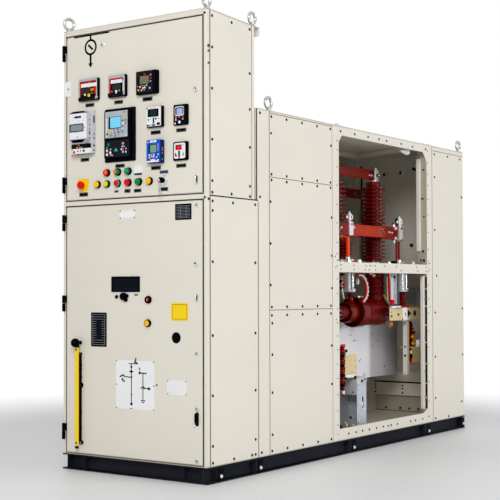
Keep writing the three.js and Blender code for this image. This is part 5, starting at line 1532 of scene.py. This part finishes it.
# Bolts and small fixings of the inside faces and of the opening's frame.
made = Maker()
wall = REAR_WALL_INSIDE - 1
rail = wall - 24
_, x1, y0, y1, z0, z1 = limits("rear_post")
flank = y0 + 24                                        # the face that looks out of the opening
for fixing, level, scale, places in (
        (DARK_BOLT, wall, 1.6, ((-124, 1734), (4, 1739), (112, 1756), (85, 1233))),
        (DARK_BOLT, wall, 1.6, ((-320, 1728), (-320, 1240))),
        (WHITE_BOLT, wall, 1.2, ((-106, 1731), (20, 1740))),
        (RIVET, wall, 1.8, ((-60, 1384), (96, 1764), (-400, 1480), (-200, 1130))),
        (RIVET, rail, 1.6, [(x, z) for x in (-190, 20, 210, 300) for z in (262, 240, 212)]),
        (DARK_BOLT, wall, 1.1, [(x, 104) for x in (-120, -10, 60, 130, 200)]),
        (DARK_BOLT, flank - 1, 1.0, column(445, 620, 410, 400, 250, 236, 222, 180, 864))):
    made.fix(fixing, "-Y", level, *((x, z, scale) for x, z in places))
made.box((-230, -202), (2790, wall), (FLOOR_TOP + 0.5, 300), PAINT, 1)  # an upright at the foot of the wall
made.box((-349, -313), (wall - 26, wall), (1092, 1806), PAINT, 2)       # a corner rail up to the roof
# Painted shade: dark lines along the corner rail's two edges.
for x in (-354, -308):
    made.box(around(x, 5), (wall - 2, wall), (1092, 1800), CHARCOAL, 0)
ledge_x = (-200, 400)                                  # ledges along the foot of the wall
made.box(ledge_x, (rail - 1, wall), (291, 306), PAINT, 1)
# Painted shade: a dark line under the ledge, a darker band of wall below it and a dark line where the wall
# meets the floor.
made.box(ledge_x, (rail - 0.6, rail + 1), (280, 290), HOLE_SHADE, 0.3)
made.box(ledge_x, (wall - 1, wall + 0.6), (FLOOR_TOP + 3, 192), SHADED_INNER_PAINT, 0.3)
made.box(ledge_x, (wall - 3, wall), (FLOOR_TOP + 0.4, FLOOR_TOP + 4), HOLE_SHADE, 0.3)
for y in (106, 445, 1392, 2345, 2858):
    made.box((469, 472), around(y, 22), (6, 70), BLACK, 1)
    made.fix(WHITE_BOLT, "X", 472, (y, 30, 1.1))
made.fix(DARK_BOLT, "-Y", flank, (444, 1690, 0.8), (436, 1505), (446, 1390, 0.7), (440, 1170, 1.1),
         (425, 1114, 0.9), (446, 1112, 1.2), (436, 1040, 0.9))
for z, scale, places in (
        (1820, 0.95, (1262, 1424, 1581, 1714, 1809, 1996)), (1818, 0.95, (2147, 2329)),
        (1066, 0.62, (1262, 1408, 1552, 1602, 1660, 1778, 1926, 2200, 2330)),
        (1042, 0.62, (1264, 1410, 1540, 1588, 1668, 1990, 2210, 2328)),
        (112, 0.9, (1342, 1425, 1500, 1580, 1668, 1752, 1812, 1850, 1930, 2104, 2170, 2270))):
    made.fix(SCREW, "X", SIDE, *((y, z, scale) for y in places))
made.turned([(0, 0), (5, 2), (12, 30), (20, 62), (22, 84), (18, 100), (0, 106)], (396, 2120, 1796), MILK,
            "Y", 28)
for y in (2338, 2420):
    made.turned([(8, 0), (8, 6), (5, 12), (0, 13)], (440, y, CUBICLE_TOP), ZINC, "Z", 16)
made.finish("frame_fixings", CABINET, "bright_metal")

# The rear post: a bright return flange, and behind it the flank with its slot and screws; the flank's darker
# paint is painted shade, and the slot is a dark plate of painted shade.
made = Maker()
inner = x1 - 2.2
made.box((x1 - 2, x1), (flank, y1), (z0, z1), PAINT)
made.box((404, inner), (flank, flank + 3), (1100, z1), SHADED_INNER_PAINT)
made.box((429, inner), (flank, flank + 3), (z0, 1100), SHADED_INNER_PAINT)
made.box((404, 425), (y0, flank + 2), (1170, 1760), PAINT, 1)
made.box((429, 449), (y0, flank + 2), (169, 1013), PAINT, 1)
made.plate(451, 464, 172, 1006, 1.4 - flank, -flank - 0.2, HOLE_SHADE, 0, 4)
made.fix(SMALL_BOLT, "-Y", flank - 1.4, *((457, z, 0.6) for z in (240, 330, 455, 590, 700, 820, 930)))
made.stand_for("rear_post")

# Shadow gaps, painted shade: a dark line drawn in each seam between sheets and round each door.
made = Maker()
seams = [(0.3, *around(y, wide / 2), z0, z1, mat) for y, z0, z1, wide, mat in (
    (30, FLOOR_TOP, 2270, 5, TAN), (424, 1384, 1846, 9, RUBBER_AND_GAP_SHADE), (381, 1386, 2272, 4, TAN),
    (437, FLOOR_TOP, 1374, 7, TAN), (540, FLOOR_TOP, 1846, 6, TAN), (1170, FLOOR_TOP, 1846, 3, TAN),
    (2420, FLOOR_TOP, 1846, 6, TAN))]
seams += [(0.35, y0, y1, *around(z, wide / 2), mat) for y0, y1, z, wide, mat in (
    (30, 436, 1380, 6, RUBBER_AND_GAP_SHADE), (540, 1170, 1507, 4, TAN), (540, 1170, 822, 3, TAN),
    (546, 1176, 1837, 4, TAN), (2436, 2882, 1819, 4, TAN))]
for proud, y0, y1, z0, z1, mat in seams:
    for x in ((SIDE, SIDE + proud), (-SIDE - proud, -SIDE)):
        made.box(x, (y0, y1), (z0, z1), mat, 0)
for z0, z1 in ((LOWER_LOW, LOWER_HIGH), (UPPER_LOW, UPPER_HIGH)):
    made.plate(DOOR_HALF + 0.4, DOOR_HALF + 7.4, z0, z1, 0.6, -0.3, RUBBER_AND_GAP_SHADE, 0)
for z, mat in ((LOWER_HIGH + 2.5, RUBBER_AND_GAP_SHADE), (UPPER_LOW - 3, RUBBER_AND_GAP_SHADE), (UPPER_HIGH + 3, RUBBER_AND_GAP_SHADE),
               (LOWER_LOW - 3, TAN)):
    made.plate(-450, DOOR_HALF + 7.4, z - 2, z + 2, 0.6, -0.3, mat, 0)
made.fix(DARK_BOLT, "-Y", 0, (457, 1370, 0.8), (457, 2255, 0.8))
made.fix(DARK_BOLT, "X", SIDE, (14, 2098, 0.9), (14, 2073, 0.7), (14, 2015, 0.7), (14, 1363, 0.9))
made.finish("seam_shade_lines", CABINET, "black_plastic")


# ---------------------------------------------------------------- stage, lights and camera

def area_light(name, location, target, size, power, colour):
    data = bpy.data.lights.new(name, "AREA")
    data.shape = "RECTANGLE"
    data.size, data.size_y = size
    data.energy = power
    data.color = colour
    lamp = bpy.data.objects.new(name, data)
    bpy.context.scene.collection.objects.link(lamp)
    lamp.location = location
    lamp.rotation_euler = (Vector(target) - Vector(location)).to_track_quat("-Z", "Y").to_euler()


def white_to_camera(tree, plain, white, output):
    """Plain shader for the light on the object, white where the background itself is seen."""
    rays = node(tree, "ShaderNodeLightPath")
    seen = rays.outputs["Is Camera Ray"]
    for kind in ("Is Glossy Ray", "Is Transmission Ray"):
        either = node(tree, "ShaderNodeMath", operation="MAXIMUM")
        wire(tree, (seen, either.inputs[0]), (rays.outputs[kind], either.inputs[1]))
        seen = either.outputs[0]
    mix = node(tree, "ShaderNodeMixShader")
    wire(tree, (seen, mix.inputs[0]), (plain, mix.inputs[1]), (white, mix.inputs[2]),
         (mix.outputs[0], output))


CLEAR_WHITE = (1, 1, 1, 1)
WORLD_STRENGTH = 0.46
world = bpy.data.worlds.new("studio")
bpy.context.scene.world = world
world.use_nodes = True
tree = world.node_tree
soft = tree.nodes["Background"]
soft.inputs["Color"].default_value = CLEAR_WHITE
soft.inputs["Strength"].default_value = WORLD_STRENGTH
white = node(tree, "ShaderNodeBackground", color=CLEAR_WHITE, strength=1.0)
white_to_camera(tree, soft.outputs[0], white.outputs[0], tree.nodes["World Output"].inputs["Surface"])

FLOOR_SIZE = 30                                        # metres, as are the two below
SHADOW_REACH, WHITE_FROM = 2.0, 4.2
bm = bmesh.new()
bmesh.ops.create_grid(bm, x_segments=1, y_segments=1, size=FLOOR_SIZE)
mesh = bpy.data.meshes.new("floor")
bm.to_mesh(mesh)
bm.free()
floor = bpy.data.objects.new("floor", mesh)
bpy.context.scene.collection.objects.link(floor)
floor_mat = bpy.data.materials.new("floor_paint")
floor_mat.use_nodes = True
tree = floor_mat.node_tree
shader = tree.nodes["Principled BSDF"]
shader.inputs["Base Color"].default_value = (0.82, 0.83, 0.85, 1)
shader.inputs["Roughness"].default_value = 0.5
# Beyond the object's shadow the floor passes into the white background.
away = node(tree, "ShaderNodeVectorMath", operation="LENGTH")
fade = node(tree, "ShaderNodeMapRange", interpolation_type="SMOOTHSTEP", from_min=SHADOW_REACH,
            from_max=WHITE_FROM, to_min=0.0, to_max=1.0)
place = node(tree, "ShaderNodeTexCoord")
glow = node(tree, "ShaderNodeEmission", color=CLEAR_WHITE, strength=1.0)
far = node(tree, "ShaderNodeMixShader")
wire(tree, (place.outputs["Object"], away.inputs[0]), (away.outputs["Value"], fade.inputs["Value"]),
     (fade.outputs["Result"], far.inputs[0]), (shader.outputs[0], far.inputs[1]),
     (glow.outputs[0], far.inputs[2]))
white_to_camera(tree, shader.outputs[0], far.outputs[0], tree.nodes["Material Output"].inputs["Surface"])
mesh.materials.append(floor_mat)

area_light("key", (4.0, -7.4, 4.6), (0, 0, 1.0), (3.2, 2.6), 345, (1, 0.99, 0.975))
area_light("fill", (8.0, 2.2, 1.7), (0, 0.6, 0.8), (0.9, 1.6), 174, (0.98, 0.99, 1))

# The camera stands in front and to the right, at about the height of the lower door's window.
EYE = (3857.2, -4540.5, 928.6)
RIGHT = Vector((0.81224, 0.58332, -0.00192))
UP = Vector((0.01421, -0.01649, 0.99976))
FORWARD = Vector((-0.58315, 0.81208, 0.02168))
SENSOR = 36                                            # mm, across the whole view
camera_data = bpy.data.cameras.new("camera")
camera_data.sensor_width = SENSOR
camera_data.lens = SENSOR * 2.3796
camera_data.shift_x = 0.0422
camera_data.shift_y = 0.0274
camera = bpy.data.objects.new("camera", camera_data)
turn = Matrix((RIGHT, UP, -FORWARD)).transposed().to_4x4()
camera.matrix_world = Matrix.Translation((EYE[0] * MM, FRONT + EYE[1] * MM, EYE[2] * MM)) @ turn
bpy.context.scene.collection.objects.link(camera)
bpy.context.scene.camera = camera
bpy.context.scene.view_settings.view_transform = "Standard"
